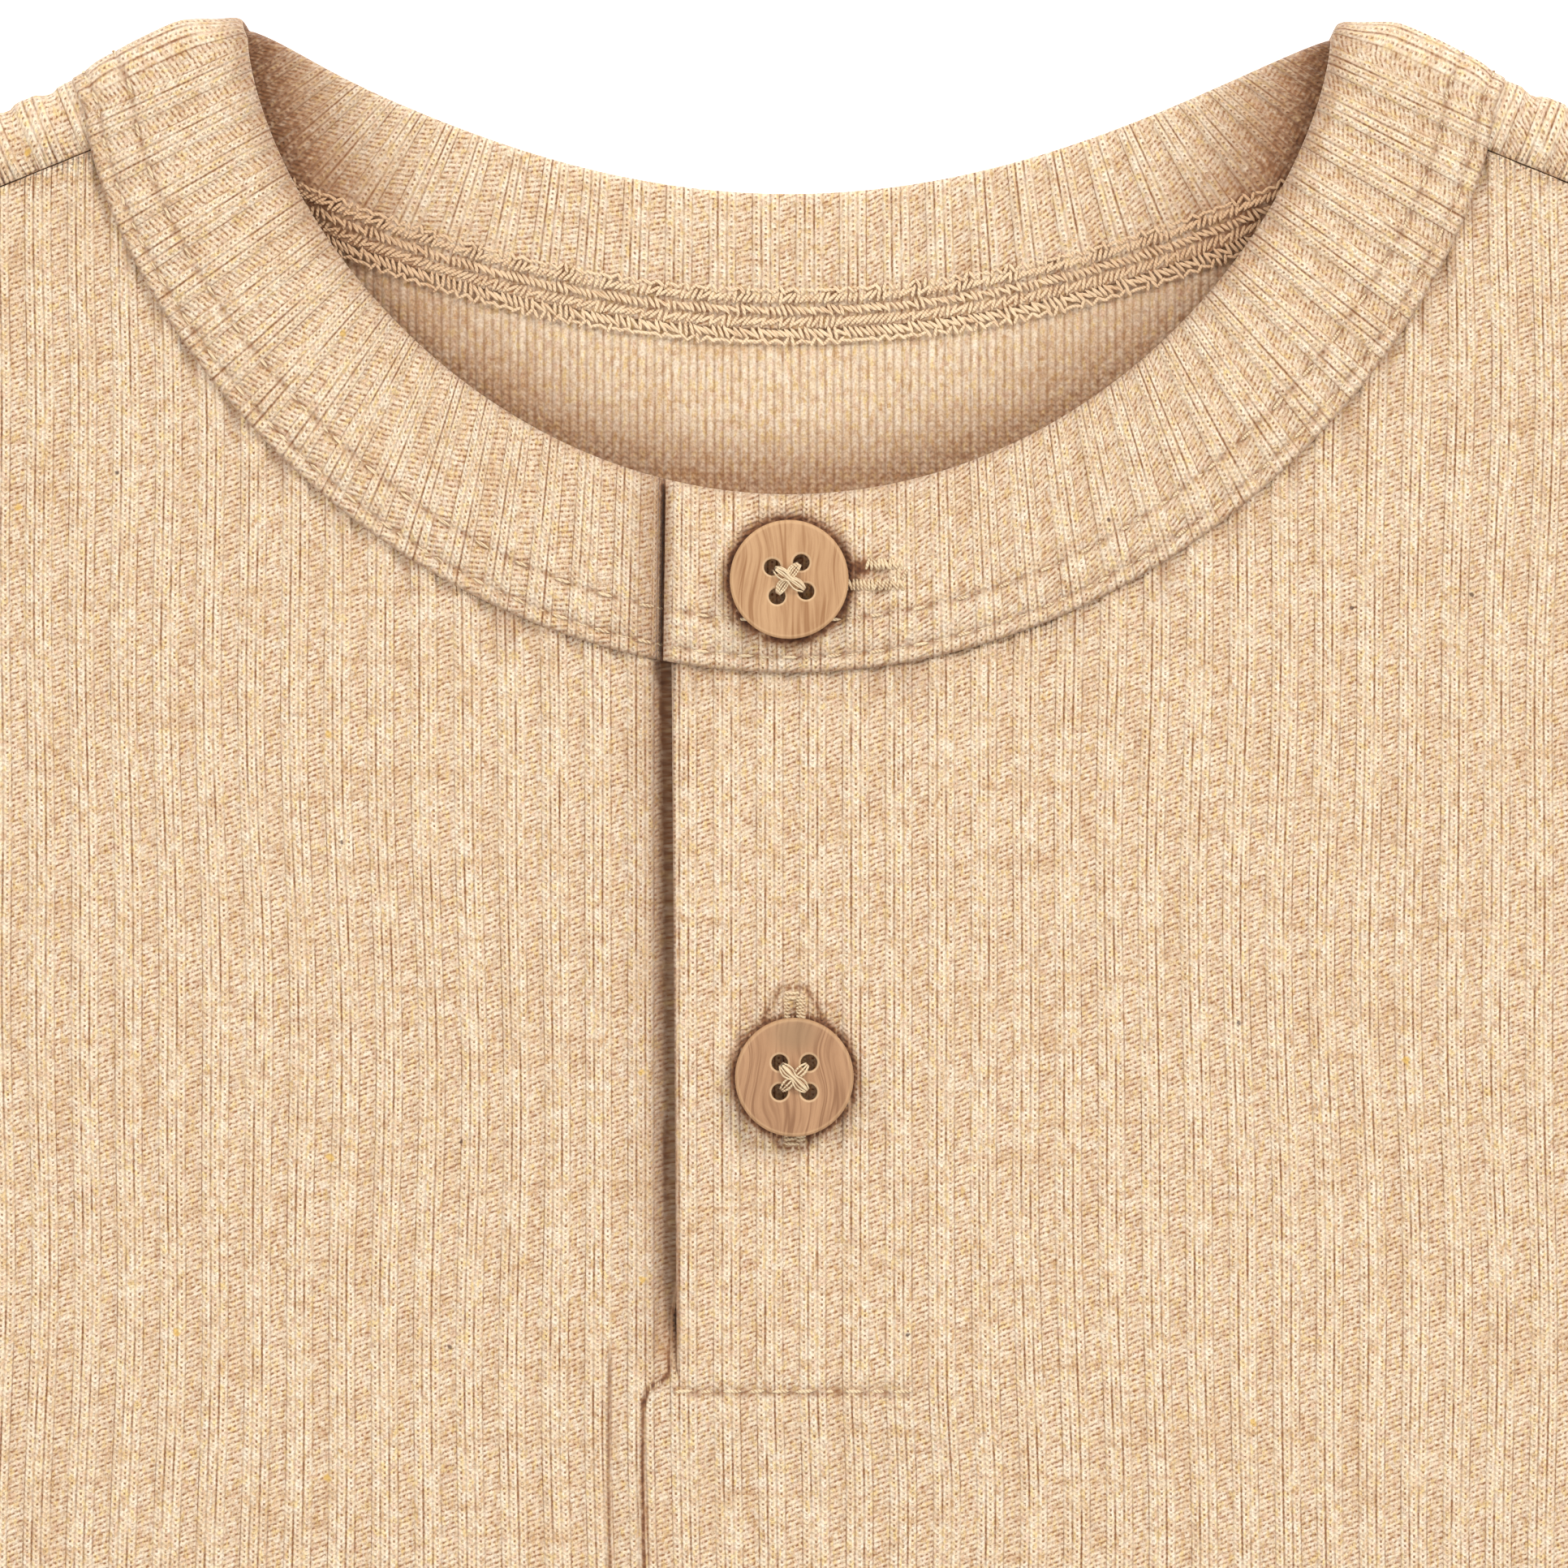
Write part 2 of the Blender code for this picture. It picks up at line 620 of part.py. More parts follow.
def stretch(make, start, end):
    """Stations from start to end, each half a rib on from the last, with whole ribs."""
    steps = np.linspace(start, end, 121)
    middles = [station_point(make(step), 0.5, 0.0) for step in steps]
    lengths = [0.0]
    for a, b in zip(middles, middles[1:]):
        lengths.append(lengths[-1] + (b - a).length)
    count = 2 * round(lengths[-1] / RIB_PITCH)
    places = np.linspace(0, lengths[-1], count + 1)
    return [make(step) for step in np.interp(places, lengths, steps)]


def band_stations():
    """The stations from the band's upper end, round the neck, to its lower end."""
    quarter = math.pi / 2
    start = neck_angle(FRONT_SEAM, BAND_END_X)
    end = neck_angle(FRONT_SEAM, BAND_UNDER_END_X)
    stations = stretch(band_front, start, quarter)
    stations += stretch(lambda angle: band_turn(1, angle), math.pi, 0.0)[1:]
    stations += stretch(band_back, quarter, -quarter)[1:]
    stations += stretch(lambda angle: band_turn(-1, angle), 0.0, math.pi)[1:]
    stations += stretch(lambda angle: band_front(angle, under=True), -quarter, end)[1:]
    return stations


def band_ring(station, ribbed):
    """The points round one station. The side that looks up has the ribs."""
    front = smooth(station.angle / math.pi)
    rise = RIB_RISE if ribbed else 0.0
    outer = (rise + BAND_CROWN) * front * (1 - station.under)
    inner = (rise + BAND_CROWN) * (1 - front)
    half = BAND_CLOTH / 2
    width = math.dist(station.seam, station.fold)
    edge = HALF_SEAM / width
    ring = [(edge, half), (0.3, half + outer), (0.7, half + outer), (0.94, half + outer * 0.4)]
    ring += [(1.0, 0.0), (0.94, -half - inner * 0.4), (0.6, -half - inner), (0.3, -half - inner)]
    ring += [(edge, -half)]
    return [station_point(station, across, out) for across, out in ring]


def neckband():
    """The neckband, folded double, from its end on the placket to its end under it."""
    bm = bmesh.new()
    rings = []
    for k, station in enumerate(band_stations()):
        rings.append([bm.verts.new(p) for p in band_ring(station, ribbed=k % 2 == 1)])
    for ring, following in zip(rings, rings[1:]):
        for k in range(len(ring)):
            after = (k + 1) % len(ring)
            bm.faces.new((ring[k], ring[after], following[after], following[k]))
    bm.faces.new(rings[0])
    bm.faces.new(reversed(rings[-1]))
    bmesh.ops.triangulate(bm, faces=bm.faces)
    return finished("neckband", bm, "rib_knit")


# Button stand


def placket_under():
    """The strip under the slit that carries the lower button."""
    def place(x, y, side):
        return x, y, STAND_LEVEL + side * STAND_CLOTH / 2

    left = SLIT_TOP_X + SLIT_LAP + 2 * SEAM
    top = moved_out(neck_line(FRONT_SEAM, PLACKET_RIGHT_X, left, 8), -HALF_SEAM)
    outline = [(left + 0.7, STAND_FOOT_Y), (PLACKET_RIGHT_X, STAND_FOOT_Y), *top]
    return sheet("placket_under", outline, [], [], place)


# Buttons and snaps


def turned(bm, profile, segments):
    """Turn a profile of (radius, z) points round the z axis."""
    line = [bm.verts.new((radius, 0, z)) for radius, z in profile]
    edges = [bm.edges.new(pair) for pair in zip(line, line[1:])]
    bmesh.ops.spin(
        bm, geom=line + edges, axis=(0, 0, 1), cent=(0, 0, 0),
        angle=math.tau, steps=segments, use_duplicate=False,
    )  # fmt: skip
    bmesh.ops.remove_doubles(bm, verts=bm.verts, dist=1e-4)


def button_loop(bm, z, radius, count, centre=(0.0, 0.0)):
    """A ring of points round a centre."""
    ring = []
    for k in range(count):
        turn = math.tau * (k + 0.5) / count
        x, y = radius * math.cos(turn), radius * math.sin(turn)
        ring.append(bm.verts.new((centre[0] + x, centre[1] + y, z)))
    return ring


def bridge(bm, lower, upper):
    """Join two rings that have the same number of points."""
    for k in range(len(lower)):
        after = (k + 1) % len(lower)
        bm.faces.new((lower[k], lower[after], upper[after], upper[k]))


def button(spec, z):
    """A round button with four holes and rounded rims."""
    bm = bmesh.new()
    rims = ((0.0, BUTTON_BEVEL), (BUTTON_BEVEL, 0.0), (BUTTON_HEIGHT - BUTTON_BEVEL, 0.0),
            (BUTTON_HEIGHT, BUTTON_BEVEL))  # fmt: skip
    rings = [button_loop(bm, height, BUTTON_RADIUS - inset, 36) for height, inset in rims]
    for lower, upper in zip(rings, rings[1:]):
        bridge(bm, lower, upper)
    faces = {0.0: [rings[0]], BUTTON_HEIGHT: [rings[-1]]}
    for sx in (-1, 1):
        for sy in (-1, 1):
            centre = (sx * BUTTON_HOLE_SPREAD, sy * BUTTON_HOLE_SPREAD)
            hole = [button_loop(bm, height, BUTTON_HOLE_RADIUS, 12, centre) for height in faces]
            bridge(bm, *hole)
            for height, ring in zip(faces, hole):
                faces[height].append(ring)
    for loops in faces.values():
        edges = [bm.edges.get((ring[k], ring[k - 1])) for ring in loops for k in range(len(ring))]
        bmesh.ops.triangle_fill(bm, edges=edges, use_beauty=True)
    bmesh.ops.rotate(bm, verts=bm.verts, matrix=Matrix.Rotation(math.radians(spec.turn), 3, "Z"))
    bmesh.ops.translate(bm, verts=bm.verts, vec=(spec.x, spec.y, z))
    return finished(spec.name, bm, "wood")


def snap(spec):
    """The cap of a snap fastener: a low dome with a rolled rim."""
    bm = bmesh.new()
    rise = SNAP_HEIGHT
    profile = ((0, 0), (0.93, 0), (1, 0.3), (0.96, 0.6), (0.84, 0.66), (0.6, 0.86), (0.3, 0.97), (0, 1))
    turned(bm, [(radius * SNAP_RADIUS, height * rise) for radius, height in profile], 24)
    z = front_top(spec.x, spec.y, SNAP_RADIUS) + SEAM
    if spec.y - SNAP_RADIUS < HEM_Y + HEM_DEPTH:
        z += HEM_RISE
    bmesh.ops.translate(bm, verts=bm.verts, vec=(spec.x, spec.y, z))
    return finished(spec.name, bm, "snap_metal")


def main():
    """Clear the scene and make the romper."""
    for obj in list(bpy.data.objects):
        bpy.data.objects.remove(obj)
    front_panel()
    back_panel()
    sleeve("sleeve_left", 1)
    sleeve("sleeve_right", -1)
    neckband()
    placket_under()
    top, lower = BUTTONS
    button(top, PLACKET_LEVEL + BAND_LIFT + BAND_CLOTH / 2 + BAND_CROWN + RIB_RISE + SEAM)
    button(lower, front_top(lower.x, lower.y, BUTTON_RADIUS) + SEAM)
    for spec in SNAPS:
        snap(spec)


main()
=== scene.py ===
"""The looks of a baby's henley romper in heathered rib knit, laid flat and seen from above.

Sizes are in millimetres: x runs to the wearer's left, y towards the neck with 0 at the high point
of the shoulder, and z up from the surface that the romper lies on. Meshes are made in metres.

Each knitted piece is an outline in its own flat pattern and a rule for where a point of the
pattern lies. Its UV map holds millimetres across and along the ribs, which the knit is drawn on.
"""

from __future__ import annotations

import logging
import math
from abc import ABC, abstractmethod
from collections.abc import Callable, Iterable, Iterator, Sequence
from contextlib import contextmanager
from dataclasses import dataclass, field
from enum import Enum

import bmesh
import bpy
import numpy as np
from mathutils import Matrix, Vector
from mathutils.geometry import delaunay_2d_cdt, interpolate_bezier


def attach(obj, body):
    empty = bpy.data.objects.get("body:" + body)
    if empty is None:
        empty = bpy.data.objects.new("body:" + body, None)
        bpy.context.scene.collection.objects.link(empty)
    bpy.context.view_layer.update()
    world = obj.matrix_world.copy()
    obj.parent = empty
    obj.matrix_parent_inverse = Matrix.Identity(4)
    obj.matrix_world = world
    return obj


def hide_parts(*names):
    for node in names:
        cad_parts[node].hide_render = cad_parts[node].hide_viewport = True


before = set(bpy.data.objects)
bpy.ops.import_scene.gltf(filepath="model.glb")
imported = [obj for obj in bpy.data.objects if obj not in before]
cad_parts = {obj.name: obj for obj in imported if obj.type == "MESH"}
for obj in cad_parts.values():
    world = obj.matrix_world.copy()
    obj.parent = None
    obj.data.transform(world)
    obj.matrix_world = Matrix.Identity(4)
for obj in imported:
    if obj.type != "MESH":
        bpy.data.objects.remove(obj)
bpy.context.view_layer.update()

log = logging.getLogger("romper")
Point = tuple[float, float]
Spot = tuple[float, float, float]
Values = np.ndarray | float
Socket = bpy.types.NodeSocket
Place = Callable[[np.ndarray, float], np.ndarray]

MM = 0.001
ORIGIN_Y = 224.5  # where y = 0 lies in the part's frame
BODY = "root"

# Cloth
CLOTH = 1.3
BAND_CLOTH = 2.4
STAND_CLOTH = 1.6
SEAM = 0.3
HALF_SEAM = SEAM / 2
SEWN_GAP = 0.12  # what shows of a seam
TUCK = 1.3  # how far the body's cloth goes in under the neckband's edge
RIB_PITCH = 4.17
RIB_RISE = 0.42
RIB_FOOT = 0.24  # where the slope beside a recess starts, and how wide it is, in half ribs
RIB_SLOPE = 0.26
FURROW_X = 0.2  # the middle of a recess
COURSE = 0.51  # height of one row of stitches

# Shoulder and body
SHOULDER_SLOPE = math.radians(22)
SHOULDER_END_X = 109.5
SHOULDER_LAP = 3.6  # from the shoulder's fold to its seam on the front
FRONT_NECK_X = 67.55
FOLD_RADIUS = 2.4
FOLD_LENGTH = math.pi * FOLD_RADIUS
UNDERARM = (128.0, -140.0)
ARMHOLE_PULL = 44.0  # how far the shoulder's end pulls the armhole straight
ARMHOLE_CORNER = (103.0, -121.0)
WAIST_PULL = (123.0, -235.0)
HIP_PULL = (145.0, -345.0)
SIDE_HEM = (131.0, -450.0)
HEM_Y = SIDE_HEM[1]
INSEAM_HEM_X = 14.0
CROTCH_Y = -405.0
HEM_DEPTH = 15.0
HEM_RISE = 0.5

# Sleeves
SLEEVE_LENGTH = 105.0
SLEEVE_SLOPE = math.radians(30.5)
SLEEVE_HEM_WIDTH = 88.0
SLEEVE_HEM_SLOPE = math.radians(27)

# Placket
SLIT_TOP_X = -11.6
SLIT_FOOT_X = -10.9
SLIT_FOOT_Y = -131.0
SLIT_GAP = 0.4
SLIT_LAP = 1.2  # how far the right front goes on under the placket
SLIT_WIDE_Y = -98.0  # where the slit gapes most, and where it is tight again
SLIT_TIGHT_Y = -118.0
PLACKET_RIGHT_X = 11.0
PLACKET_ROW_Y = SLIT_FOOT_Y - 2.2  # the row of stitches across the placket's foot
STAND_FOOT_Y = -134.5
BAND_END_X = -12.2
BAND_UNDER_END_X = 10.0

# Heights of the middle of the cloth
BACK_LEVEL = CLOTH / 2
FRONT_LEVEL = 3.9
FOLDED_LEVEL = BACK_LEVEL + 2 * FOLD_RADIUS
SHOULDER_RISE = 55.0  # over this the front comes down from the shoulder's fold
EDGE_LEVEL = CLOTH + SEAM + CLOTH / 2
EDGE_ROLL = 7.0  # over this it comes down to its seams
PLACKET_LEVEL = 5.0
PLACKET_FADE = 20.0
UNDER_LEVEL = 2.3
UNDER_ROLL = 2.5  # over this the right front goes down into the slit
STAND_LEVEL = CLOTH + SEAM + STAND_CLOTH / 2
BAND_LIFT = (BAND_CLOTH - CLOTH) / 2
BAND_UNDER_LEVEL = CLOTH + SEAM + BAND_CLOTH / 2
BAND_CROWN = 0.4

# Buttons
BUTTON_RADIUS = 5.75
HOLE_RADIUS = 0.8
HOLE_SPREAD = 1.42  # how far the holes are from the middle, both across and along

# Fineness of the meshes
RIB_COLUMNS = 8
COLUMN = RIB_PITCH / RIB_COLUMNS
ROW = 5.0
STRETCH = ROW / COLUMN  # the pattern is widened by this while it is filled, so that cells are square
KNIT_UV = "knit"
SHADE = "crevice"  # painted shade: how much each point of the cloth is darkened, from 0 to 1


@dataclass(frozen=True)
class ButtonSpot:
    """Where a button's middle lies, how far it is turned, and how high its underside is."""

    node: str
    x: float
    y: float
    turn: float
    z: float

    def away(self, x: Values, y: Values) -> Values:
        """How far points are from its middle."""
        return np.hypot(x - self.x, y - self.y)


BUTTON_TOP = ButtonSpot("button_top", 0.0, -54.5, 9.3, 7.85)
BUTTON_LOWER = ButtonSpot("button_lower", 0.5, -102.7, 0.0, 6.35)


class Side(Enum):
    """The two sides of the wearer, with the sign of x there."""

    LEFT = 1
    RIGHT = -1


# Small helpers


def smooth(t: Values) -> Values:
    """0 below 0, 1 above 1, and an even S between."""
    t = np.clip(t, 0.0, 1.0)
    return t * t * (3 - 2 * t)


def mix(a: Values, b: Values, t: Values) -> Values:
    """The value between a and b at t."""
    return a + (b - a) * t


def bell(distance: Values, width: float) -> Values:
    """1 at no distance, falling softly to nothing at about twice the width."""
    return np.exp(-((distance / width) ** 2))


def rows_of(*parts: Values) -> np.ndarray:
    """One row for each point. A part that is a single number fills its column."""
    return np.column_stack(np.broadcast_arrays(*parts))


def line_distance(line: Sequence[Point], x: np.ndarray, y: np.ndarray) -> np.ndarray:
    """How far points are from a line of points."""
    nearest = np.full(np.shape(x), np.inf)
    for (ax, ay), (bx, by) in zip(line, line[1:]):
        dx, dy = bx - ax, by - ay
        t = np.clip(((x - ax) * dx + (y - ay) * dy) / (dx * dx + dy * dy), 0.0, 1.0)
        nearest = np.minimum(nearest, np.hypot(x - ax - t * dx, y - ay - t * dy))
    return nearest


def is_within(outline: Sequence[Point], x: np.ndarray, y: np.ndarray) -> np.ndarray:
    """Which points lie inside a closed outline."""
    inside = np.zeros(np.shape(x), bool)
    for (ax, ay), (bx, by) in zip(outline, [*outline[1:], outline[0]]):
        if ay != by:
            crossing = ax + (y - ay) * (bx - ax) / (by - ay)
            inside ^= ((ay > y) != (by > y)) & (x < crossing)
    return inside


def moved_out(line: Sequence[Point], out: float) -> list[Point]:
    """A line of points moved sideways, to the right of its direction."""
    moved = []
    for k, (x, y) in enumerate(line):
        ax, ay = line[max(k - 1, 0)]
        bx, by = line[min(k + 1, len(line) - 1)]
        length = math.hypot(bx - ax, by - ay)
        moved.append((x + (by - ay) / length * out, y - (bx - ax) / length * out))
    return moved


def mirrored(line: Sequence[Point]) -> list[Point]:
    """The same line on the other side of the middle, in the opposite order."""
    return [(-x, y) for x, y in reversed(line)]


def resampled(outline: Sequence[Point]) -> list[Point]:
    """A closed outline with points no further apart than a column across and a row along."""
    points = []
    for (ax, ay), (bx, by) in zip(outline, [*outline[1:], outline[0]]):
        length = math.hypot((bx - ax) * STRETCH, by - ay)
        count = max(1, math.ceil(length / ROW - 0.01))
        points += [(mix(ax, bx, k / count), mix(ay, by, k / count)) for k in range(count)]
    return points


def rib_rise(across: np.ndarray) -> np.ndarray:
    """How far the ribs stand out: three stitches wide, with a recess between each two."""
    phase = np.mod((across - FURROW_X) / RIB_PITCH, 1.0)
    tri = 1 - np.abs(2 * phase - 1)
    return RIB_RISE * smooth((tri - RIB_FOOT) / RIB_SLOPE)


# The outline


@dataclass(frozen=True)
class NeckEdge:
    """An edge of the neckline: at low in the middle, reaching high at its half width."""

    half: float
    low: float
    high: float
    bend: float

    def point(self, angle: float) -> Point:
        """The point at an angle that is 0 in the middle and a right angle at the shoulder."""
        drop = (self.high - self.low) * max(math.cos(angle), 0.0) ** self.bend
        return self.half * math.sin(angle), self.high - drop

    def angle(self, x: float) -> float:
        """The angle of the point at x."""
        return math.asin(min(max(x / self.half, -1.0), 1.0))

    def line(self, x0: float, x1: float, count: int) -> list[Point]:
        """Points along the edge from x0 to x1."""
        start, end = self.angle(x0), self.angle(x1)
        return [self.point(mix(start, end, k / count)) for k in range(count + 1)]


FRONT_SEAM = NeckEdge(half=68.0, low=-63.2, high=-9.0, bend=1.32)
FRONT_FOLD = NeckEdge(half=52.5, low=-46.2, high=-2.0, bend=1.27)
BACK_SEAM = NeckEdge(half=68.0, low=-29.8, high=-9.0, bend=2.0)
BACK_FOLD = NeckEdge(half=52.5, low=-16.9, high=-2.0, bend=2.4)


def inseam_point(t: float) -> Point:
    """A point of the inseam edge: t is 0 at the crotch and 1 at the left leg's hem."""
    return INSEAM_HEM_X * t, CROTCH_Y + (HEM_Y - CROTCH_Y) * t * t


def fold_y(x: Values) -> Values:
    """Where the shoulder's fold starts, at x."""
    return BACK_SEAM.high - (np.abs(x) - BACK_SEAM.half) * math.tan(SHOULDER_SLOPE)


FOLD_NORMAL = (math.sin(SHOULDER_SLOPE), math.cos(SHOULDER_SLOPE))
NECK_POINT = (BACK_SEAM.half, BACK_SEAM.high)
SHOULDER_POINT = (SHOULDER_END_X, float(fold_y(SHOULDER_END_X)))
SLEEVE_ALONG = Vector((math.cos(SLEEVE_SLOPE), -math.sin(SLEEVE_SLOPE)))
SLEEVE_ACROSS = Vector((-math.sin(SLEEVE_SLOPE), -math.cos(SLEEVE_SLOPE)))
SLEEVE_HEM_TOP = Vector(SHOULDER_POINT) + SLEEVE_ALONG * SLEEVE_LENGTH
SLEEVE_HEM_FOOT = SLEEVE_HEM_TOP - SLEEVE_HEM_WIDTH * Vector(
    (math.sin(SLEEVE_HEM_SLOPE), math.cos(SLEEVE_HEM_SLOPE))
)
TOP_LINE = (NECK_POINT, SHOULDER_POINT, tuple(SLEEVE_HEM_TOP))
BODY_SIDE = [
    tuple(p)
    for p in interpolate_bezier(
        Vector(SIDE_HEM), Vector(HIP_PULL), Vector(WAIST_PULL), Vector(UNDERARM), 11
    )
]
SIDE_LINE = (*BODY_SIDE, tuple(SLEEVE_HEM_FOOT))
INSEAM_LINE = tuple(inseam_point(k / 6) for k in range(7))


def armhole_line(out: float, count: int = 24) -> list[Point]:
    """The left armhole from the underarm to the shoulder's fold, moved out from the body."""
    top = Vector(SHOULDER_POINT)
    pull = top - ARMHOLE_PULL * Vector(FOLD_NORMAL)
    line = interpolate_bezier(Vector(UNDERARM), Vector(ARMHOLE_CORNER), pull, top, count)
    return moved_out([tuple(p) for p in line], out)


def leg_line() -> list[Point]:
    """The left half of the outline from the crotch round the leg and almost to the underarm."""
    return list(INSEAM_LINE) + BODY_SIDE[:-1]


# How the front and the sleeves' upper sides lie


@dataclass(frozen=True)
class SoftFold:
    """A soft ridge, or a trough where its height is negative, from one end to the other."""

    start: Point
    end: Point
    width: float
    height: float

    def lift(self, x: np.ndarray, y: np.ndarray) -> np.ndarray:
        """How far it lifts the cloth."""
        return self.height * bell(line_distance((self.start, self.end), x, y), self.width)


MAIN_FOLDS = (
    SoftFold((-15.9, -133.0), (-16.5, -192.0), 2.2, 0.9),
    SoftFold((120.0, -148.0), (62.0, -190.0), 11.0, 1.0),
    SoftFold((-119.0, -152.0), (-74.0, -178.0), 9.0, 0.8),
    SoftFold((122.0, -236.0), (52.0, -252.0), 12.0, 0.9),
    SoftFold((-124.0, -262.0), (-38.0, -244.0), 13.0, 1.1),
    SoftFold((12.0, -388.0), (72.0, -346.0), 11.0, 1.0),
    SoftFold((-14.0, -384.0), (-58.0, -338.0), 12.0, 0.9),
)
CREASES = (
    SoftFold((-14.2, -134.4), (-14.7, -172.0), 0.55, -0.7),
    SoftFold((-17.4, -130.0), (-18.2, -176.0), 0.7, -0.5),
    SoftFold((-11.9, -129.4), (-15.2, -132.4), 0.8, 0.45),
    SoftFold((112.0, -120.0), (84.0, -150.0), 4.0, -0.35),
    SoftFold((-113.0, -126.0), (-88.0, -160.0), 4.5, -0.4),
    SoftFold((100.0, -205.0), (66.0, -221.0), 5.0, 0.35),
    SoftFold((-104.0, -216.0), (-60.0, -207.0), 6.0, 0.3),
    SoftFold((96.0, -300.0), (40.0, -290.0), 7.0, 0.35),
    SoftFold((-96.0, -318.0), (-52.0, -300.0), 6.0, -0.35),
    SoftFold((16.0, -372.0), (54.0, -324.0), 4.5, -0.4),
    SoftFold((-10.0, -370.0), (-34.0, -322.0), 4.0, -0.35),
    SoftFold((60.0, -408.0), (104.0, -398.0), 7.0, 0.4),
    SoftFold((-70.0, -396.0), (-112.0, -404.0), 6.0, 0.35),
    SoftFold((132.0, -66.0), (170.0, -92.0), 6.0, 0.5),
    SoftFold((136.0, -118.0), (166.0, -122.0), 5.0, -0.4),
    SoftFold((-128.0, -58.0), (-166.0, -84.0), 5.5, 0.45),
    SoftFold((-140.0, -112.0), (-172.0, -112.0), 6.0, -0.4),
)

SLIT_CURL = ((-11.0, -129.0), (-11.5, -131.4), (-12.5, -132.3), (-13.7, -133.0), (-14.2, -134.4))
BUTTONHOLE_PULLS = (
    ((-0.8, -94.0), (1.6, -94.0)),
    ((-0.8, -94.0), (-2.7, -97.4)),
    ((1.6, -94.0), (3.6, -97.4)),
    ((-0.8, -109.6), (1.6, -109.6)),
    ((-0.8, -109.6), (-2.6, -107.4)),
    ((1.6, -109.6), (3.4, -107.4)),
)


@dataclass(frozen=True)
class ShadeLine:
    """A thin line of painted shade in the front's cloth, along a crease or a pull, which may fade over its
    way down.
    """

    line: tuple[Point, ...]
    depth: float
    width: float
    fade: float = 0.0

    def shade(self, x: np.ndarray, y: np.ndarray) -> np.ndarray:
        """How dark it makes each point."""
        dark = self.depth * bell(line_distance(self.line, x, y), self.width)
        return dark * smooth((y - self.line[-1][1]) / self.fade) if self.fade else dark


SHADE_LINES = (
    ShadeLine((CREASES[0].start, CREASES[0].end), 0.8, 0.22, 25.0),
    ShadeLine((CREASES[1].start, CREASES[1].end), 0.6, 0.22, 25.0),
    ShadeLine(SLIT_CURL, 0.9, 0.3),
    *(ShadeLine(pull, 0.62, 0.26) for pull in BUTTONHOLE_PULLS),
)


def slit_x(y: Values) -> Values:
    """The line of the slit, which leans a little."""
    return mix(SLIT_TOP_X, SLIT_FOOT_X, (y - FRONT_SEAM.low) / (SLIT_FOOT_Y - FRONT_SEAM.low))


def under_share(x: np.ndarray, y: np.ndarray) -> np.ndarray:
    """How much the right front has gone under: 1 at the slit, 0 away from it."""
    share = smooth((y - SLIT_FOOT_Y) / 7.0) * smooth(1 - (slit_x(y) - x) / UNDER_ROLL)
    return np.where(x > slit_x(y), 0.0, share)


def placket_share(x: np.ndarray, y: np.ndarray) -> np.ndarray:
    """1 over the placket, falling to 0 round it."""
    right = 1 - smooth((x - PLACKET_RIGHT_X) / PLACKET_FADE)
    left = 1 - smooth((slit_x(y) - x) / PLACKET_FADE)
    across = np.where(x > slit_x(y), right, left)
    return across * smooth((y - SLIT_FOOT_Y + 14) / 14)


def edge_share(x: np.ndarray, y: np.ndarray) -> np.ndarray:
    """0 at the side seam, the sleeve's seam and the inseam, 1 away from them."""
    away = np.minimum(
        line_distance(SIDE_LINE, np.abs(x), y), line_distance(INSEAM_LINE, np.abs(x), y)
    )
    near = 1 - np.minimum(away / EDGE_ROLL, 1.0)
    return 1 - near * near


def placket_relief(x: np.ndarray, y: np.ndarray) -> np.ndarray:
    """The fine shape of the placket: its folded edge, its foot and the pull of the button."""
    on_placket = smooth((y - SLIT_FOOT_Y + 1) / 2) * (x > slit_x(y))
    edge = bell(x - slit_x(y) - 1.9, 1.3) * 0.22
    step = bell(y - PLACKET_ROW_Y, 0.7) * smooth((x + 13) / 3) * smooth((13 - x) / 3)
    pull = bell(np.hypot((x - BUTTON_LOWER.x) / 1.2, (y - BUTTON_LOWER.y) / 1.7), 6.2)
    return on_placket * edge - 0.28 * step - 0.5 * pull


def front_level(x: Values, y: Values) -> np.ndarray:
    """Height of the middle of the front's cloth, or of a sleeve's upper side."""
    x, y = np.asarray(x, float), np.asarray(y, float)
    rise = 1 - smooth(line_distance(TOP_LINE, np.abs(x), y) / SHOULDER_RISE)
    level = mix(FRONT_LEVEL, FOLDED_LEVEL, rise)
    for fold in (*MAIN_FOLDS, *CREASES):
        level = level + fold.lift(x, y)
    level = mix(level, PLACKET_LEVEL, placket_share(x, y))
    level = level + placket_relief(x, y)
    level = mix(level, UNDER_LEVEL, under_share(x, y))
    return mix(EDGE_LEVEL, level, edge_share(x, y))


def wander(x: np.ndarray, y: np.ndarray) -> np.ndarray:
    """How far the ribs stray to a side, as they do in cloth that was smoothed by hand."""
    stray = 0.34 * np.sin(y / 31.0 + x / 47.0) + 0.2 * np.sin(y / 13.0 - x / 23.0 + 1.3)
    return stray + 0.16 * np.sin(y / 7.3 + x / 11.0)


# Meshes


def in_scene(name: str, data: bpy.types.ID) -> bpy.types.Object:
    """Make an object and put it into the scene."""
    obj = bpy.data.objects.new(name, data)
    bpy.context.scene.collection.objects.link(obj)
    return obj


def in_frame(points: Sequence | np.ndarray) -> list[list[float]]:
    """Points in the part's frame, in metres."""
    return ((np.asarray(points, float) + (0.0, ORIGIN_Y, 0.0)) * MM).tolist()


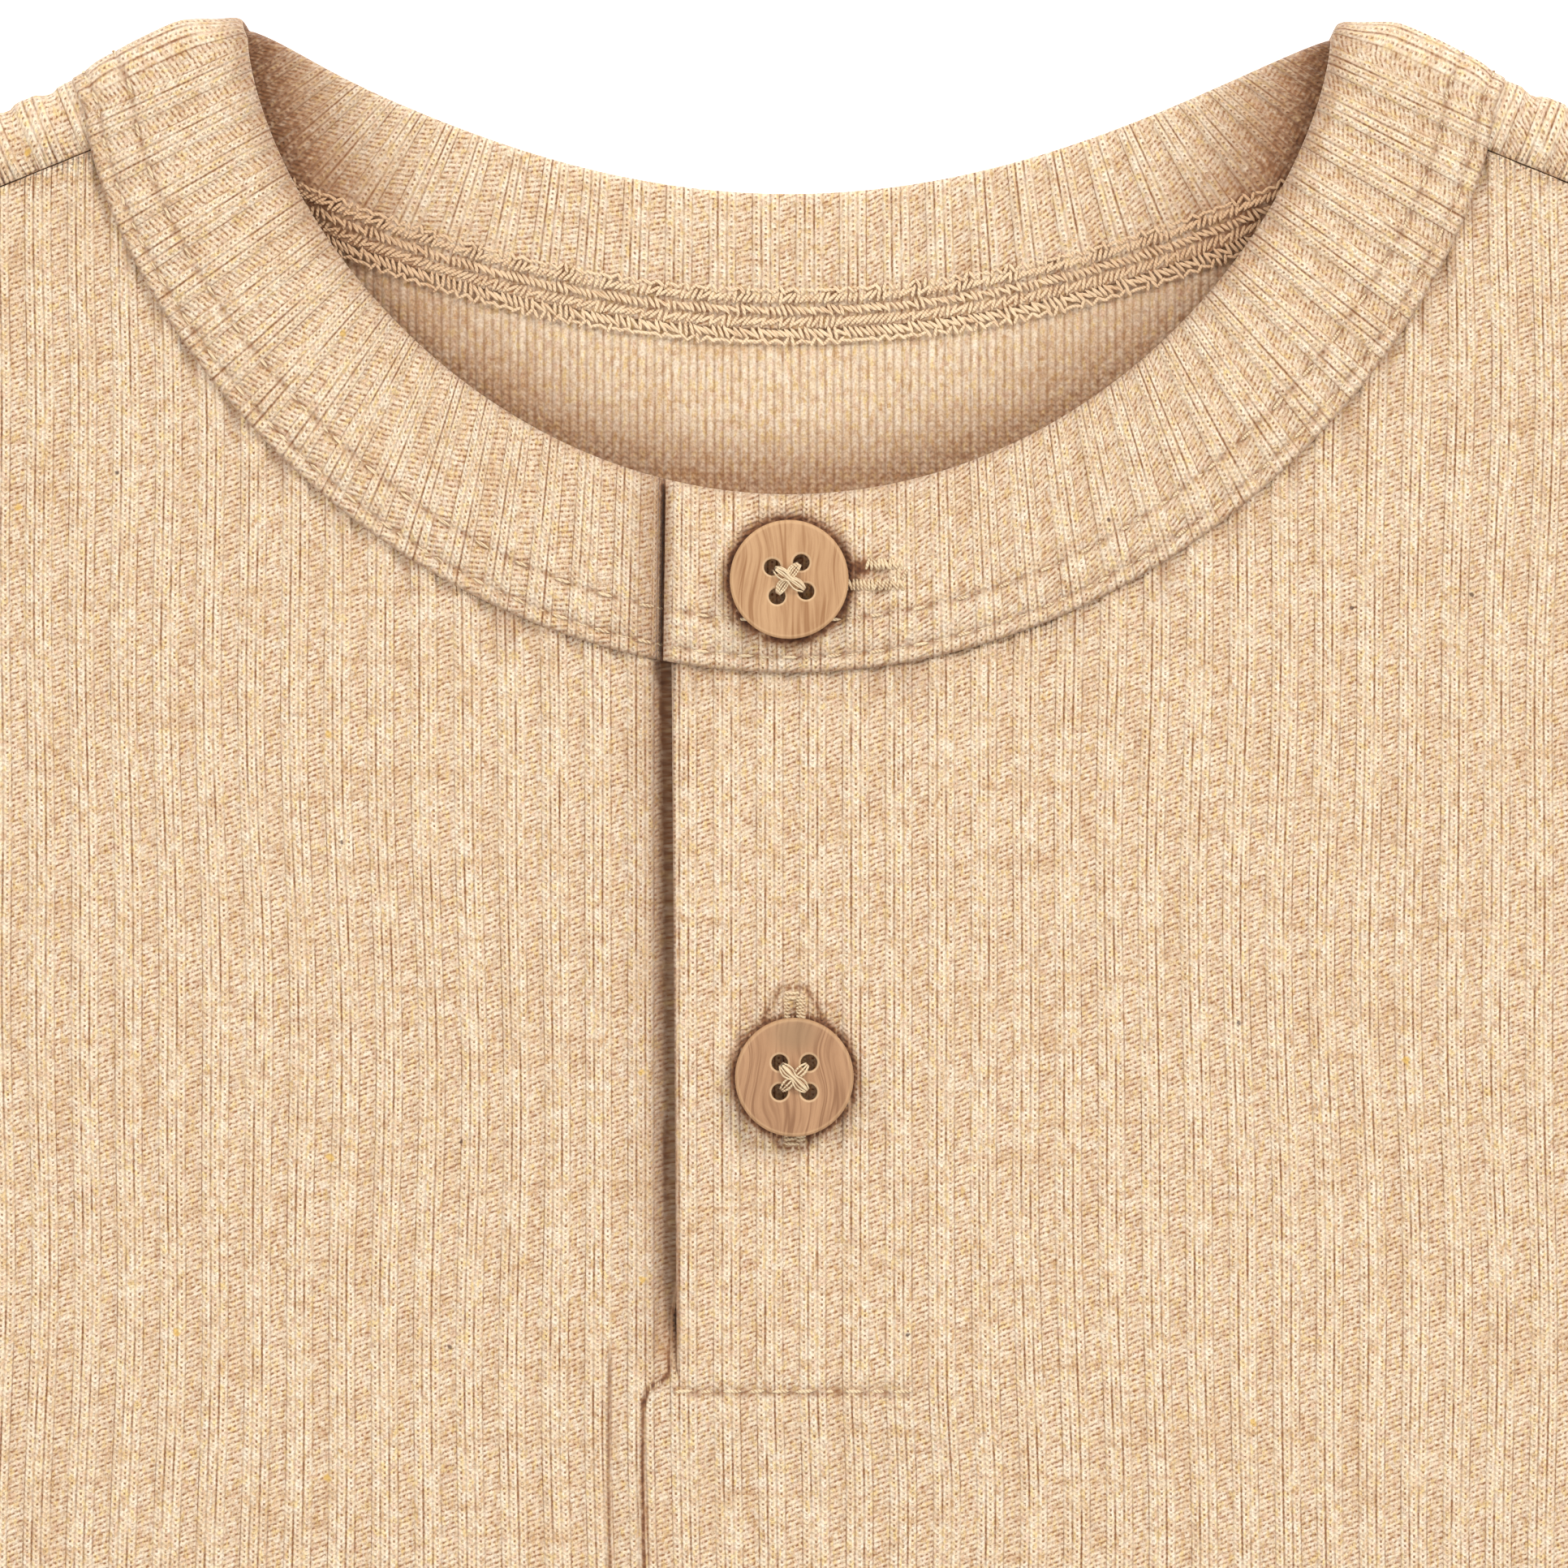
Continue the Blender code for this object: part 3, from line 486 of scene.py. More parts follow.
def mesh_object(
    name: str,
    points: np.ndarray,
    faces: Sequence[Sequence[int]],
    materials: Sequence[bpy.types.Material],
    uv: np.ndarray | None = None,
    slots: Sequence[int] | None = None,
    shade: np.ndarray | None = None,
    sharp: float = 60.0,
) -> bpy.types.Object:
    """Make an object of points in millimetres.

    Args:
        name: the object's name.
        points: one row of x, y and z for each point.
        faces: the points of each face.
        materials: the object's materials.
        uv: one row for each point, in millimetres on the cloth.
        slots: the material of each face.
        shade: how much painted shade darkens each point.
        sharp: edges that turn more than this, in degrees, are shaded sharp.

    Returns:
        The object, which lies where the part does.
    """
    mesh = bpy.data.meshes.new(name)
    mesh.from_pydata(in_frame(points), [], [list(face) for face in faces])
    for material in materials:
        mesh.materials.append(material)
    if slots is not None:
        mesh.polygons.foreach_set("material_index", np.asarray(slots, np.int32))
    if uv is not None:
        layer = mesh.uv_layers.new(name=KNIT_UV)
        corners = np.empty(len(mesh.loops), np.int32)
        mesh.loops.foreach_get("vertex_index", corners)
        layer.data.foreach_set("uv", np.asarray(uv, float)[corners].ravel())
    if shade is not None:
        made = mesh.attributes.new(SHADE, "FLOAT", "POINT")
        made.data.foreach_set("value", np.asarray(shade, np.float32))
    mesh.shade_smooth()
    mesh.set_sharp_from_angle(angle=math.radians(sharp))
    mesh.validate()
    return in_scene(name, mesh)


@contextmanager
def edited(obj: bpy.types.Object) -> Iterator[bmesh.types.BMesh]:
    """The object's mesh, open for changes."""
    bm = bmesh.new()
    bm.from_mesh(obj.data)
    yield bm
    bm.to_mesh(obj.data)
    bm.free()


def facing_out(obj: bpy.types.Object) -> None:
    """Turn a closed mesh's faces outwards."""
    with edited(obj) as bm:
        bmesh.ops.recalc_face_normals(bm, faces=bm.faces)


def bands(start: int, rings: int, size: int) -> list[tuple[int, int, int, int]]:
    """Faces between rings of points that follow one another from the point numbered start."""
    faces = []
    for low in range(start, start + (rings - 1) * size, size):
        high = low + size
        for j in range(size):
            after = (j + 1) % size
            faces.append((low + j, low + after, high + after, high + j))
    return faces


def filled(outline: Sequence[Point], inner: np.ndarray) -> tuple[np.ndarray, list[tuple[int, ...]]]:
    """Fill an outline with triangles through some inner points.

    Args:
        outline: the closed outline, anticlockwise.
        inner: one row of x and y for each inner point.

    Returns:
        The points, the outline's first, and the triangles.
    """
    points = np.vstack([np.asarray(outline, float), inner.reshape(-1, 2)])
    wide = [Vector((x * STRETCH, y)) for x, y in points]
    found = delaunay_2d_cdt(wide, [], [list(range(len(outline)))], 0, 1e-4)
    result = np.array([(p.x / STRETCH, p.y) for p in found[0]])
    return result, [tuple(face) for face, source in zip(found[2], found[5]) if source]


def rim_of(triangles: Iterable[tuple[int, ...]]) -> list[int]:
    """The points round the edge of some triangles, in order."""
    sides = {side for a, b, c in triangles for side in ((a, b), (b, c), (c, a))}
    following = dict(side for side in sides if side[::-1] not in sides)
    rim = [min(following)]
    while following[rim[-1]] != rim[0]:
        rim.append(following[rim[-1]])
    return rim


@dataclass
class KnitWall:
    """A wall of knitted cloth, cut from a flat pattern whose x runs across the ribs.

    outer and inner hold the points, inside the outline or not, that shape its two sides.
    """

    name: str
    outline: list[Point]
    place: Place
    outer: list[np.ndarray]
    inner: list[np.ndarray]
    finish: RibKnit
    shade: Callable[[np.ndarray], np.ndarray] = lambda points: np.zeros(len(points))
    edge_steps: tuple[float, ...] = (0.12, 0.28, 0.45, 0.6)
    edge_round: float = 0.45
    edge_depth: float = 0.3
    clear: float = 0.9

    def __post_init__(self) -> None:
        """Put the outline's points in anticlockwise order."""
        x, y = np.array(self.outline).T
        if np.sum(x * np.roll(y, -1) - y * np.roll(x, -1)) < 0:
            self.outline = self.outline[::-1]
        self.closed = [*self.outline, self.outline[0]]

    def within(self, x: np.ndarray, y: np.ndarray, clear: float) -> np.ndarray:
        """The points that lie inside the outline, clear of its edge."""
        keep = is_within(self.outline, x, y)
        x, y = x[keep], y[keep]
        keep = line_distance(self.closed, x, y) > clear
        return rows_of(x[keep], y[keep])

    def spots(self, given: list[np.ndarray], clear: float) -> np.ndarray:
        """The given points that lie inside the outline."""
        return np.vstack([self.within(*points.T, clear) for points in given])

    def outer_spots(self) -> np.ndarray:
        """The points inside the outline that shape the outside, close together at its edge."""
        edge = resampled(self.outline)
        ring = [edge[-1], *edge, edge[0]]
        inner = [self.spots(self.outer, self.clear)]
        for step in self.edge_steps:
            near = np.array(moved_out(ring, -step)[1:-1])
            inner.append(self.within(near[:, 0], near[:, 1], step * 0.9))
        return np.vstack(inner)

    def build(self) -> bpy.types.Object:
        """Make the wall, with a fine outside whose edge is rounded, and a plain inside."""
        points, triangles = filled(resampled(self.outline), self.outer_spots())
        rim = rim_of(triangles)
        rim_points = [tuple(points[k]) for k in rim]
        under_points, under_triangles = filled(rim_points, self.spots(self.inner, 1.5))
        away = line_distance(self.closed, points[:, 0], points[:, 1]) / self.edge_round
        tuck = 1 - np.sqrt(np.maximum(1 - (1 - np.minimum(away, 1.0)) ** 2, 0.0))
        outside = self.place(points, 1.0)
        outside += (self.place(points, -1.0) - outside) * (self.edge_depth * tuck)[:, None]
        inside = self.place(under_points, -1.0)
        shift = len(points)
        faces = list(triangles)
        faces += [tuple(shift + k for k in reversed(face)) for face in under_triangles]
        slots = [0] * len(triangles) + [1] * len(under_triangles) + [0] * len(rim)
        for k, corner in enumerate(rim):
            after = (k + 1) % len(rim)
            faces.append((corner, shift + k, shift + after, rim[after]))
        uv = np.vstack([points, under_points]) - (FURROW_X, 0.0)
        dressed = [self.finish.outside(), self.finish.inside()]
        shade = np.concatenate([self.shade(points), self.shade(under_points)])
        obj = mesh_object(self.name, np.vstack([outside, inside]), faces, dressed, uv, slots, shade)
        self.drop_loose(obj)
        facing_out(obj)
        return obj

    @staticmethod
    def drop_loose(obj: bpy.types.Object) -> None:
        """Remove points that no face uses."""
        with edited(obj) as bm:
            loose = [v for v in bm.verts if not v.link_faces]
            bmesh.ops.delete(bm, geom=loose, context="VERTS")

    def cut(self) -> tuple[tuple[float, float], float]:
        """The flat cut: its width and length, and its area, in metres."""
        x, y = np.array(self.outline).T
        area = abs(np.sum(x * np.roll(y, -1) - y * np.roll(x, -1))) / 2
        return (float(np.ptp(x)) * MM, float(np.ptp(y)) * MM), float(area) * MM * MM


def folded(
    foot: np.ndarray, normal: np.ndarray, beyond: np.ndarray, out: Values
) -> np.ndarray:
    """Points of cloth that turns over a fold.

    Args:
        foot: where each point's column crosses the line at which the fold starts.
        normal: the level direction away from the cloth there.
        beyond: how far past that line each point is, along the cloth.
        out: how far outside the middle of the cloth each point is.

    Returns:
        One row of x, y and z for each point.
    """
    angle = np.minimum(beyond / FOLD_RADIUS, math.pi)
    away = (FOLD_RADIUS + out) * np.sin(angle) - np.maximum(beyond - FOLD_LENGTH, 0.0)
    z = BACK_LEVEL + FOLD_RADIUS - (FOLD_RADIUS + out) * np.cos(angle)
    return np.column_stack([foot + normal * away[:, None], z])


def spaced(low: float, high: float, step: float) -> np.ndarray:
    """Places from low to high, each a step on from the last."""
    return np.arange(low, high + step / 2, step)


def crossings(columns: np.ndarray, rows: np.ndarray) -> np.ndarray:
    """The points where columns and rows cross."""
    x, y = np.meshgrid(columns, rows)
    return rows_of(x.ravel(), y.ravel())


# Materials


def srgb(red: float, green: float, blue: float) -> tuple[float, float, float, float]:
    """A colour from its screen values of 0 to 255."""
    parts = (c / 255 for c in (red, green, blue))
    linear = (c / 12.92 if c <= 0.04045 else ((c + 0.055) / 1.055) ** 2.4 for c in parts)
    return (*linear, 1.0)


def add_node(
    tree: bpy.types.NodeTree, kind: str, settings: dict, values: Sequence | dict
) -> bpy.types.Node:
    """Add a node to a tree.

    Args:
        tree: the tree.
        kind: the node's type.
        settings: properties that are set first.
        values: what its inputs hold or are linked to, in order or by name.

    Returns:
        The node.
    """
    node = tree.nodes.new(kind)
    for key, value in settings.items():
        setattr(node, key, value)
    for key, value in values.items() if isinstance(values, dict) else enumerate(values):
        if isinstance(value, Wire):
            value = value.socket
        if isinstance(value, Socket):
            tree.links.new(value, node.inputs[key])
        else:
            node.inputs[key].default_value = value
    return node


class Wire:
    """A value on its way through a material, which Python's operators work on."""

    def __init__(self, bench: Bench, socket: Socket) -> None:
        """Wrap an output socket of one of the bench's nodes."""
        self.bench = bench
        self.socket = socket

    def maths(self, operation: str, *others: Wire | float) -> Wire:
        """The result of a Math node on this value and others."""
        return self.bench.node("ShaderNodeMath", {"operation": operation}, [self, *others])

    def __add__(self, other: Wire | float) -> Wire:
        """Sum."""
        return self.maths("ADD", other)

    def __sub__(self, other: Wire | float) -> Wire:
        """Difference."""
        return self.maths("SUBTRACT", other)

    def __rsub__(self, other: float) -> Wire:
        """Difference from a number."""
        return self.bench.node("ShaderNodeMath", {"operation": "SUBTRACT"}, [other, self])

    def __mul__(self, other: Wire | float) -> Wire:
        """Product."""
        return self.maths("MULTIPLY", other)

    def __truediv__(self, other: Wire | float) -> Wire:
        """Quotient."""
        return self.maths("DIVIDE", other)

    def __pow__(self, power: float) -> Wire:
        """Power."""
        return self.maths("POWER", power)

    __radd__ = __add__
    __rmul__ = __mul__

    def fraction(self) -> Wire:
        """What is left over the whole number below."""
        return self.maths("FRACT")

    def size(self) -> Wire:
        """The value without its sign."""
        return self.maths("ABSOLUTE")

    def capped(self) -> Wire:
        """The value, but 1 at most."""
        return self.maths("MINIMUM", 1.0)

    def wave(self) -> Wire:
        """A soft wave that is 1 at whole numbers and 0 halfway between."""
        return (self * math.tau).maths("COSINE") * 0.5 + 0.5

    def step(self, low: float, high: float) -> Wire:
        """0 below low, 1 above high, and an even S between."""
        settings = {"interpolation_type": "SMOOTHSTEP"}
        return self.bench.node("ShaderNodeMapRange", settings, [self, low, high, 0.0, 1.0])


def length(x: Wire, y: Wire) -> Wire:
    """The length of a vector with these parts."""
    return (x * x + y * y) ** 0.5


class Bench:
    """A material in the making, with its shader."""

    def __init__(self, name: str, **constants: float | tuple[float, ...]) -> None:
        """Start a material.

        Args:
            name: the material's name.
            constants: values of the shader's own sockets, named in lower case with underscores.
        """
        self.material = bpy.data.materials.new(name)
        self.material.use_nodes = True
        self.tree = self.material.node_tree
        self.shader = self.tree.nodes["Principled BSDF"]
        for key, value in constants.items():
            self.shader.inputs[key.replace("_", " ").title().replace("Ior", "IOR")].default_value = value

    def node(self, kind: str, settings: dict, values: Sequence | dict, output: int | str = 0) -> Wire:
        """The wanted output of a new node, set up as add_node says."""
        return Wire(self, add_node(self.tree, kind, settings, values).outputs[output])

    def spot(self) -> Wire:
        """Where a point of the object lies, in metres."""
        return self.node("ShaderNodeTexCoord", {}, [], "Object")

    def blend(self, a: Wire | tuple, b: Wire | tuple, share: Wire | float) -> Wire:
        """A colour between two others."""
        return self.node("ShaderNodeMix", {"data_type": "RGBA"}, {0: share, 6: a, 7: b}, 2)

    def place(self, x: Wire | float, y: Wire | float, z: Wire | float = 0.0) -> Wire:
        """A vector from its parts."""
        return self.node("ShaderNodeCombineXYZ", {}, [x, y, z])

    def parts(self, vector: Wire) -> tuple[Wire, Wire, Wire]:
        """The parts of a vector."""
        first = self.node("ShaderNodeSeparateXYZ", {}, [vector])
        outputs = first.socket.node.outputs
        return tuple(Wire(self, outputs[k]) for k in range(3))

    def noise(self, place: Wire, scale: float = 1.0, detail: float = 1.0) -> Wire:
        """Soft noise, mostly between 0.3 and 0.7."""
        values = {"Vector": place, "Scale": scale, "Detail": detail}
        return self.node("ShaderNodeTexNoise", {}, values)

    def mottle(self, x: Wire, y: Wire, layer: float = 0.0, detail: float = 1.0) -> Wire:
        """Soft noise over x and y, which differs from layer to layer."""
        return self.noise(self.place(x, y, layer), 1.0, detail)

    def finish(self, colour: Wire, height: Wire, relief: float) -> bpy.types.Material:
        """Link the shader.

        Args:
            colour: the base colour.
            height: the fine relief, from 0 to 1.
            relief: how high 1 is, in millimetres.

        Returns:
            The finished material.
        """
        values = {"Strength": 1.0, "Distance": relief * MM, "Height": height}
        normal = self.node("ShaderNodeBump", {}, values)
        self.tree.links.new(colour.socket, self.shader.inputs["Base Color"])
        self.tree.links.new(normal.socket, self.shader.inputs["Normal"])
        return self.material


@dataclass(frozen=True)
class RibKnit:
    """Cotton rib knit of a heathered yarn: three raised columns of stitches, then a recess."""

    name: str = "knit_cloth"
    inside_name: str = "knit_cloth_inside"
    light: tuple = srgb(246, 223, 189)
    yellow: tuple = srgb(243, 212, 142)
    pink: tuple = srgb(238, 203, 176)
    pale: tuple = srgb(253, 238, 214)
    tan: tuple = srgb(218, 177, 129)
    # crevice and deep are painted shade: brown for crevices and the gaps between stitches, darker brown for
    # the deepest shade. crevice also darkens some stitches and grain at random.
    crevice: tuple = srgb(146, 96, 58)
    deep: tuple = srgb(104, 62, 38)
    speck: tuple = srgb(74, 44, 32)
    straw: tuple = srgb(226, 182, 92)
    recess_half: float = 0.18
    wales: int = 3
    wale_width: float = 0.93
    inner_pitch: float = 0.83
    fleck_chance: float = 0.09
    relief: float = 0.2

    def outside(self) -> bpy.types.Material:
        """The ribbed side."""
        return bpy.data.materials.get(self.name) or self.ribbed()

    def inside(self) -> bpy.types.Material:
        """The plain side."""
        return bpy.data.materials.get(self.inside_name) or self.plain()

    def bench(self, name: str) -> tuple[Bench, Wire, Wire]:
        """A new material, with millimetres across and along the ribs."""
        bench = Bench(name, roughness=0.92, specular_ior_level=0.25, sheen_weight=0.18, sheen_roughness=0.6)
        uv = bench.node("ShaderNodeUVMap", {"uv_map": KNIT_UV}, [])
        across, along, _ = bench.parts(uv)
        return bench, across, along

    def heather(self, bench: Bench, across: Wire, along: Wire) -> Wire:
        """The yarn's colour: stitches of differing shades, short streaks, and browner courses."""
        streak = bench.mottle(across * 2.2, along * 0.6, detail=2.0)
        colour = bench.blend(self.tan, self.light, streak.step(0.28, 0.56))
        tints = ((self.yellow, 1.7, 0.8, 11.0), (self.pink, 1.9, 1.0, 47.0), (self.pale, 2.1, 0.7, 83.0))
        for tint, fine, slow, layer in tints:
            share = bench.mottle(across * fine + layer, along * slow, layer).step(0.5, 0.64)
            colour = bench.blend(colour, tint, share * 0.7)
        course = bench.mottle(across * 0.06 + 7.0, along * 0.8, 61.0, 2.0)
        colour = bench.blend(colour, self.tan, course.step(0.52, 0.7) * 0.4)
        cloud = bench.mottle(across * 0.3, along * 0.12, 5.0, 3.0)
        colour = bench.blend(colour, self.tan, cloud.step(0.42, 0.72) * 0.35)
        cell = bench.place((across / (self.wale_width / 2)).maths("FLOOR"), (along / COURSE).maths("FLOOR"))
        odd = bench.node("ShaderNodeTexWhiteNoise", {"noise_dimensions": "2D"}, {"Vector": cell}, "Value")
        colour = bench.blend(colour, self.pale, (1 - odd.step(0.0, 0.5)) * 0.35)
        colour = bench.blend(colour, self.crevice, odd.step(0.6, 1.0) * 0.22)
        grain = bench.mottle(across * 6.5, along * 4.5, 71.0)
        colour = bench.blend(colour, self.pale, grain.step(0.5, 0.72) * 0.4)
        return bench.blend(colour, self.crevice, (1 - grain.step(0.28, 0.5)) * 0.3)

    def flecked(self, bench: Bench, colour: Wire, across: Wire, along: Wire) -> Wire:
        """The colour with a few dark and yellow flecks of waste yarn."""
        ragged = bench.mottle(across * 1.7, along * 1.7, 91.0) * 0.8
        for tint, cell, radius, shift in ((self.speck, 11.0, 0.3, 3.0), (self.straw, 15.0, 0.5, 29.0)):
            place = bench.place((across + ragged) / cell + shift, (along - ragged * 0.6) / cell)
            values = {"Vector": place, "Scale": 1.0}
            near = bench.node("ShaderNodeTexVoronoi", {"voronoi_dimensions": "2D"}, values, "Distance")
            pick, _, _ = bench.parts(Wire(bench, near.socket.node.outputs["Color"]))
            inside = 1 - near.step(radius / cell * 0.4, radius / cell)
            chosen = 1 - pick.step(self.fleck_chance, self.fleck_chance + 0.01)
            colour = bench.blend(colour, tint, inside * chosen * 0.8)
        return colour

    def with_painted_shade(self, bench: Bench, colour: Wire, across: Wire, along: Wire) -> Wire:
        """The colour with painted shade: darker and browner as far as the crevice attribute says."""
        depth = bench.node("ShaderNodeAttribute", {"attribute_name": SHADE}, [], "Fac")
        grain = bench.mottle(across * 2.1, along * 1.5, 13.0) * 1.2 + 0.4
        share = (depth * grain).capped()
        colour = bench.blend(colour, self.crevice, (share * 1.6).capped() * 0.9)
        return bench.blend(colour, self.deep, (share - 0.4).step(0.0, 0.6))

    def ribbed(self) -> bpy.types.Material:
        """Draw the ribbed side's stitches."""
        bench, across, along = self.bench(self.name)
        jog = bench.mottle(across * 1.3, along * 1.6, 29.0) * 0.5
        phase = (across / RIB_PITCH).fraction()
        reach = (phase - 0.5).size() * 2
        recess = reach.step(0.61, 0.67)
        wale = ((phase - self.recess_half) * (self.wales / (1 - 2 * self.recess_half))).fraction()
        off = (wale - 0.5).size() * 2
        rows = along / COURSE + jog
        stitch = (rows - off * 0.5).wave()
        dot = (1 - off.step(0.1, 0.36)) * (1 - rows.wave()).step(0.35, 0.9)
        hatch = (rows - across / 1.2).wave()
        bead = (across / 0.52).wave()
        face = (1 - off**2.4) * 0.7 + stitch * 0.3 - dot * 0.35
        height = face * (1 - recess) + (hatch * 0.45 + bead * 0.15) * recess
        long_streak = bench.mottle(across * 1.1, along * 0.16, 19.0, 2.0).step(0.36, 0.64)
        speckle = bench.mottle(across * 3.4, along * 3.0, 37.0).step(0.42, 0.62)
        # gap, dot, pit and dark are painted shade in the knit's hollows: between stitch columns, in the
        # stitches' middles, between rows and in the recess.
        gap = off.step(0.62, 0.95) * (long_streak * 0.85 + 0.2) * (0.8 + speckle * 0.35)
        dark = (gap + dot * (speckle * 0.6 + 0.25) + (1 - stitch) * speckle * 0.22) * (1 - recess)
        pit = (1 - hatch).step(0.3, 0.9) * (speckle * 0.62 + 0.2) + (1 - bead) * speckle * 0.22 + 0.06
        dark = dark + pit * recess
        colour = self.heather(bench, across, along)
        colour = bench.blend(colour, self.crevice, (dark * 0.9).capped())
        colour = self.with_painted_shade(bench, colour, across, along)
        colour = self.flecked(bench, colour, across, along)
        return bench.finish(colour, height, self.relief)

    def plain(self) -> bpy.types.Material:
        """Draw the inside's fine, even columns."""
        bench, across, along = self.bench(self.inside_name)
        wale = (across / self.inner_pitch).fraction()
        off = (wale - 0.5).size() * 2
        stitch = (along / COURSE + off * 0.5).wave()
        height = (1 - off**2.0) * 0.65 + stitch * 0.35
        speckle = bench.mottle(across * 3.0, along * 2.6, 23.0).step(0.42, 0.62)
        uneven = bench.mottle(across * 0.8, along * 0.4, 43.0).step(0.3, 0.7) * 0.5 + 0.4
        # dark is painted shade in the hollows between the fine columns and between rows.
        dark = off.step(0.5, 1.0) * uneven + (1 - stitch) * (speckle * 0.35 + 0.05)
        colour = self.heather(bench, across, along)
        colour = bench.blend(colour, self.crevice, (dark * 0.56).capped())
        colour = self.with_painted_shade(bench, colour, across, along)
        return bench.finish(colour, height, self.relief)


class Finish(ABC):
    """What a piece is made of. Its material is made when it is first asked for."""

    name: str

    @abstractmethod
    def make(self) -> bpy.types.Material:
        """Make the material."""

    def material(self) -> bpy.types.Material:
        """The material."""
        return bpy.data.materials.get(self.name) or self.make()


@dataclass(frozen=True)
class Thread(Finish):
    """Cotton sewing thread. shaded says how much painted shade darkens it towards the shoulders."""

    name: str = "sewing_thread"
    colour: tuple = srgb(240, 217, 178)
    shade: tuple = srgb(166, 118, 76)
    shaded: float = 0.0

    def make(self) -> bpy.types.Material:
        """The thread, twisted from two strands."""
        bench = Bench(self.name, roughness=0.7, sheen_weight=0.2)
        spot = bench.spot()
        x, y, _ = bench.parts(spot)
        twist = ((x + y) * 2600.0).wave()
        grain = bench.noise(spot, 900.0)
        colour = bench.blend(self.shade, self.colour, (twist * 0.35 + grain * 0.9).step(0.1, 0.75))
        if self.shaded:
            aside = (x / MM).size().step(14.0, 50.0)
            colour = bench.blend(colour, self.shade, aside * self.shaded)
        return bench.finish(colour, twist, 0.06)


LOOPER = Thread("looper_thread", srgb(248, 222, 184), srgb(202, 156, 114), 0.75)


@dataclass(frozen=True)
class Wood(Finish):
    """Pale hardwood with a darker grain along y, turned to a button, and a weathered patch on it."""

    spot: ButtonSpot
    base: tuple
    grain: tuple
    patch_share: float
    seed: float
    patch: tuple = srgb(150, 120, 88)
    patch_y: float = 4.2
    tarnish_and_pale_ring: tuple = srgb(238, 206, 164)
    rim: tuple = srgb(226, 186, 140)

    @property
    def name(self) -> str:
        """The material's name, which is the piece's too."""
        return "wood_" + self.spot.node

    def make(self) -> bpy.types.Material:
        """The wood, with a painted highlight at its rim, and paler round its holes."""
        bench = Bench(self.name, roughness=0.52, specular_ior_level=0.35)
        x, y, _ = bench.parts(bench.spot())
        x = x / MM - self.spot.x
        y = y / MM - (self.spot.y + ORIGIN_Y)
        across = x + bench.mottle(x * 0.16, y * 0.1, self.seed) * 4.2
        broad = bench.mottle(across * 0.75, y * 0.05, self.seed + 3, 2.0)
        lines = bench.mottle(across * 3.2, y * 0.16, self.seed + 9, 4.0)
        pores = bench.mottle(across * 14.0, y * 1.1, self.seed + 17, 2.0)
        streak = bench.mottle(across * 0.95, y * 0.03, self.seed + 31)
        share = broad.step(0.3, 0.72) * 0.42 + lines.step(0.38, 0.75) * 0.62
        colour = bench.blend(self.base, self.grain, share.capped())
        thin = streak.step(0.56, 0.6) * (1 - streak.step(0.6, 0.64))
        colour = bench.blend(colour, self.grain, thin * 0.95)
        colour = bench.blend(colour, self.grain, pores.step(0.58, 0.75) * 0.35)
        patch = 1 - length(x, (y - self.patch_y) * math.sqrt(2)).step(0.8, 3.4)
        colour = bench.blend(colour, self.patch, patch * self.patch_share)
        turn = math.radians(self.spot.turn)
        hole_x = (x * math.cos(turn) + y * math.sin(turn)).size() - HOLE_SPREAD
        hole_y = (y * math.cos(turn) - x * math.sin(turn)).size() - HOLE_SPREAD
        # A paler ring round each hole.
        tarnish_and_pale_ring = 1 - length(hole_x, hole_y).step(HOLE_RADIUS * 1.1, HOLE_RADIUS * 1.325)
        colour = bench.blend(colour, self.tarnish_and_pale_ring, tarnish_and_pale_ring * 0.7)
        # The lighter rim is a painted highlight, where light catches the button's edge.
        rim = length(x, y).step(BUTTON_RADIUS - 0.45, BUTTON_RADIUS - 0.25)
        colour = bench.blend(colour, self.rim, rim * 0.3)
        return bench.finish(colour, pores * 0.5 + lines * 0.5, 0.03)


@dataclass(frozen=True)
class Metal(Finish):
    """Brushed, lightly tarnished metal."""

    name: str
    colour: tuple
    tarnish_and_pale_ring: tuple

    def make(self) -> bpy.types.Material:
        """The metal."""
        bench = Bench(self.name, roughness=0.34, metallic=0.9)
        cloud = bench.noise(bench.spot(), 700.0, 3.0)
        colour = bench.blend(self.colour, self.tarnish_and_pale_ring, cloud.step(0.42, 0.7) * 0.5)
        return bench.finish(colour, bench.noise(bench.spot(), 4200.0, 2.0), 0.01)


# Cloth pieces


def front_turned(points: np.ndarray, side: float) -> np.ndarray:
    """Where points of the front's pattern lie, on the outside (1) or the inside (-1)."""
    x, y = points.T
    share = under_share(x, y)
    z = front_level(x, y) + side * CLOTH / 2
    calm = (1 - placket_share(x, y)) * smooth(line_distance(SIDE_LINE, np.abs(x), y) / 30)
    calm = calm * smooth(line_distance(TOP_LINE, np.abs(x), y) / 25)
    moved = x + SLIT_LAP * smooth((share - 0.75) / 0.25) + wander(x, y) * calm
    if side > 0:
        z = z + rib_rise(x) * (1 - 0.5 * share)
        z = z + HEM_RISE * smooth(HEM_Y + HEM_DEPTH + 1 - y)
    return rows_of(moved, y, z)


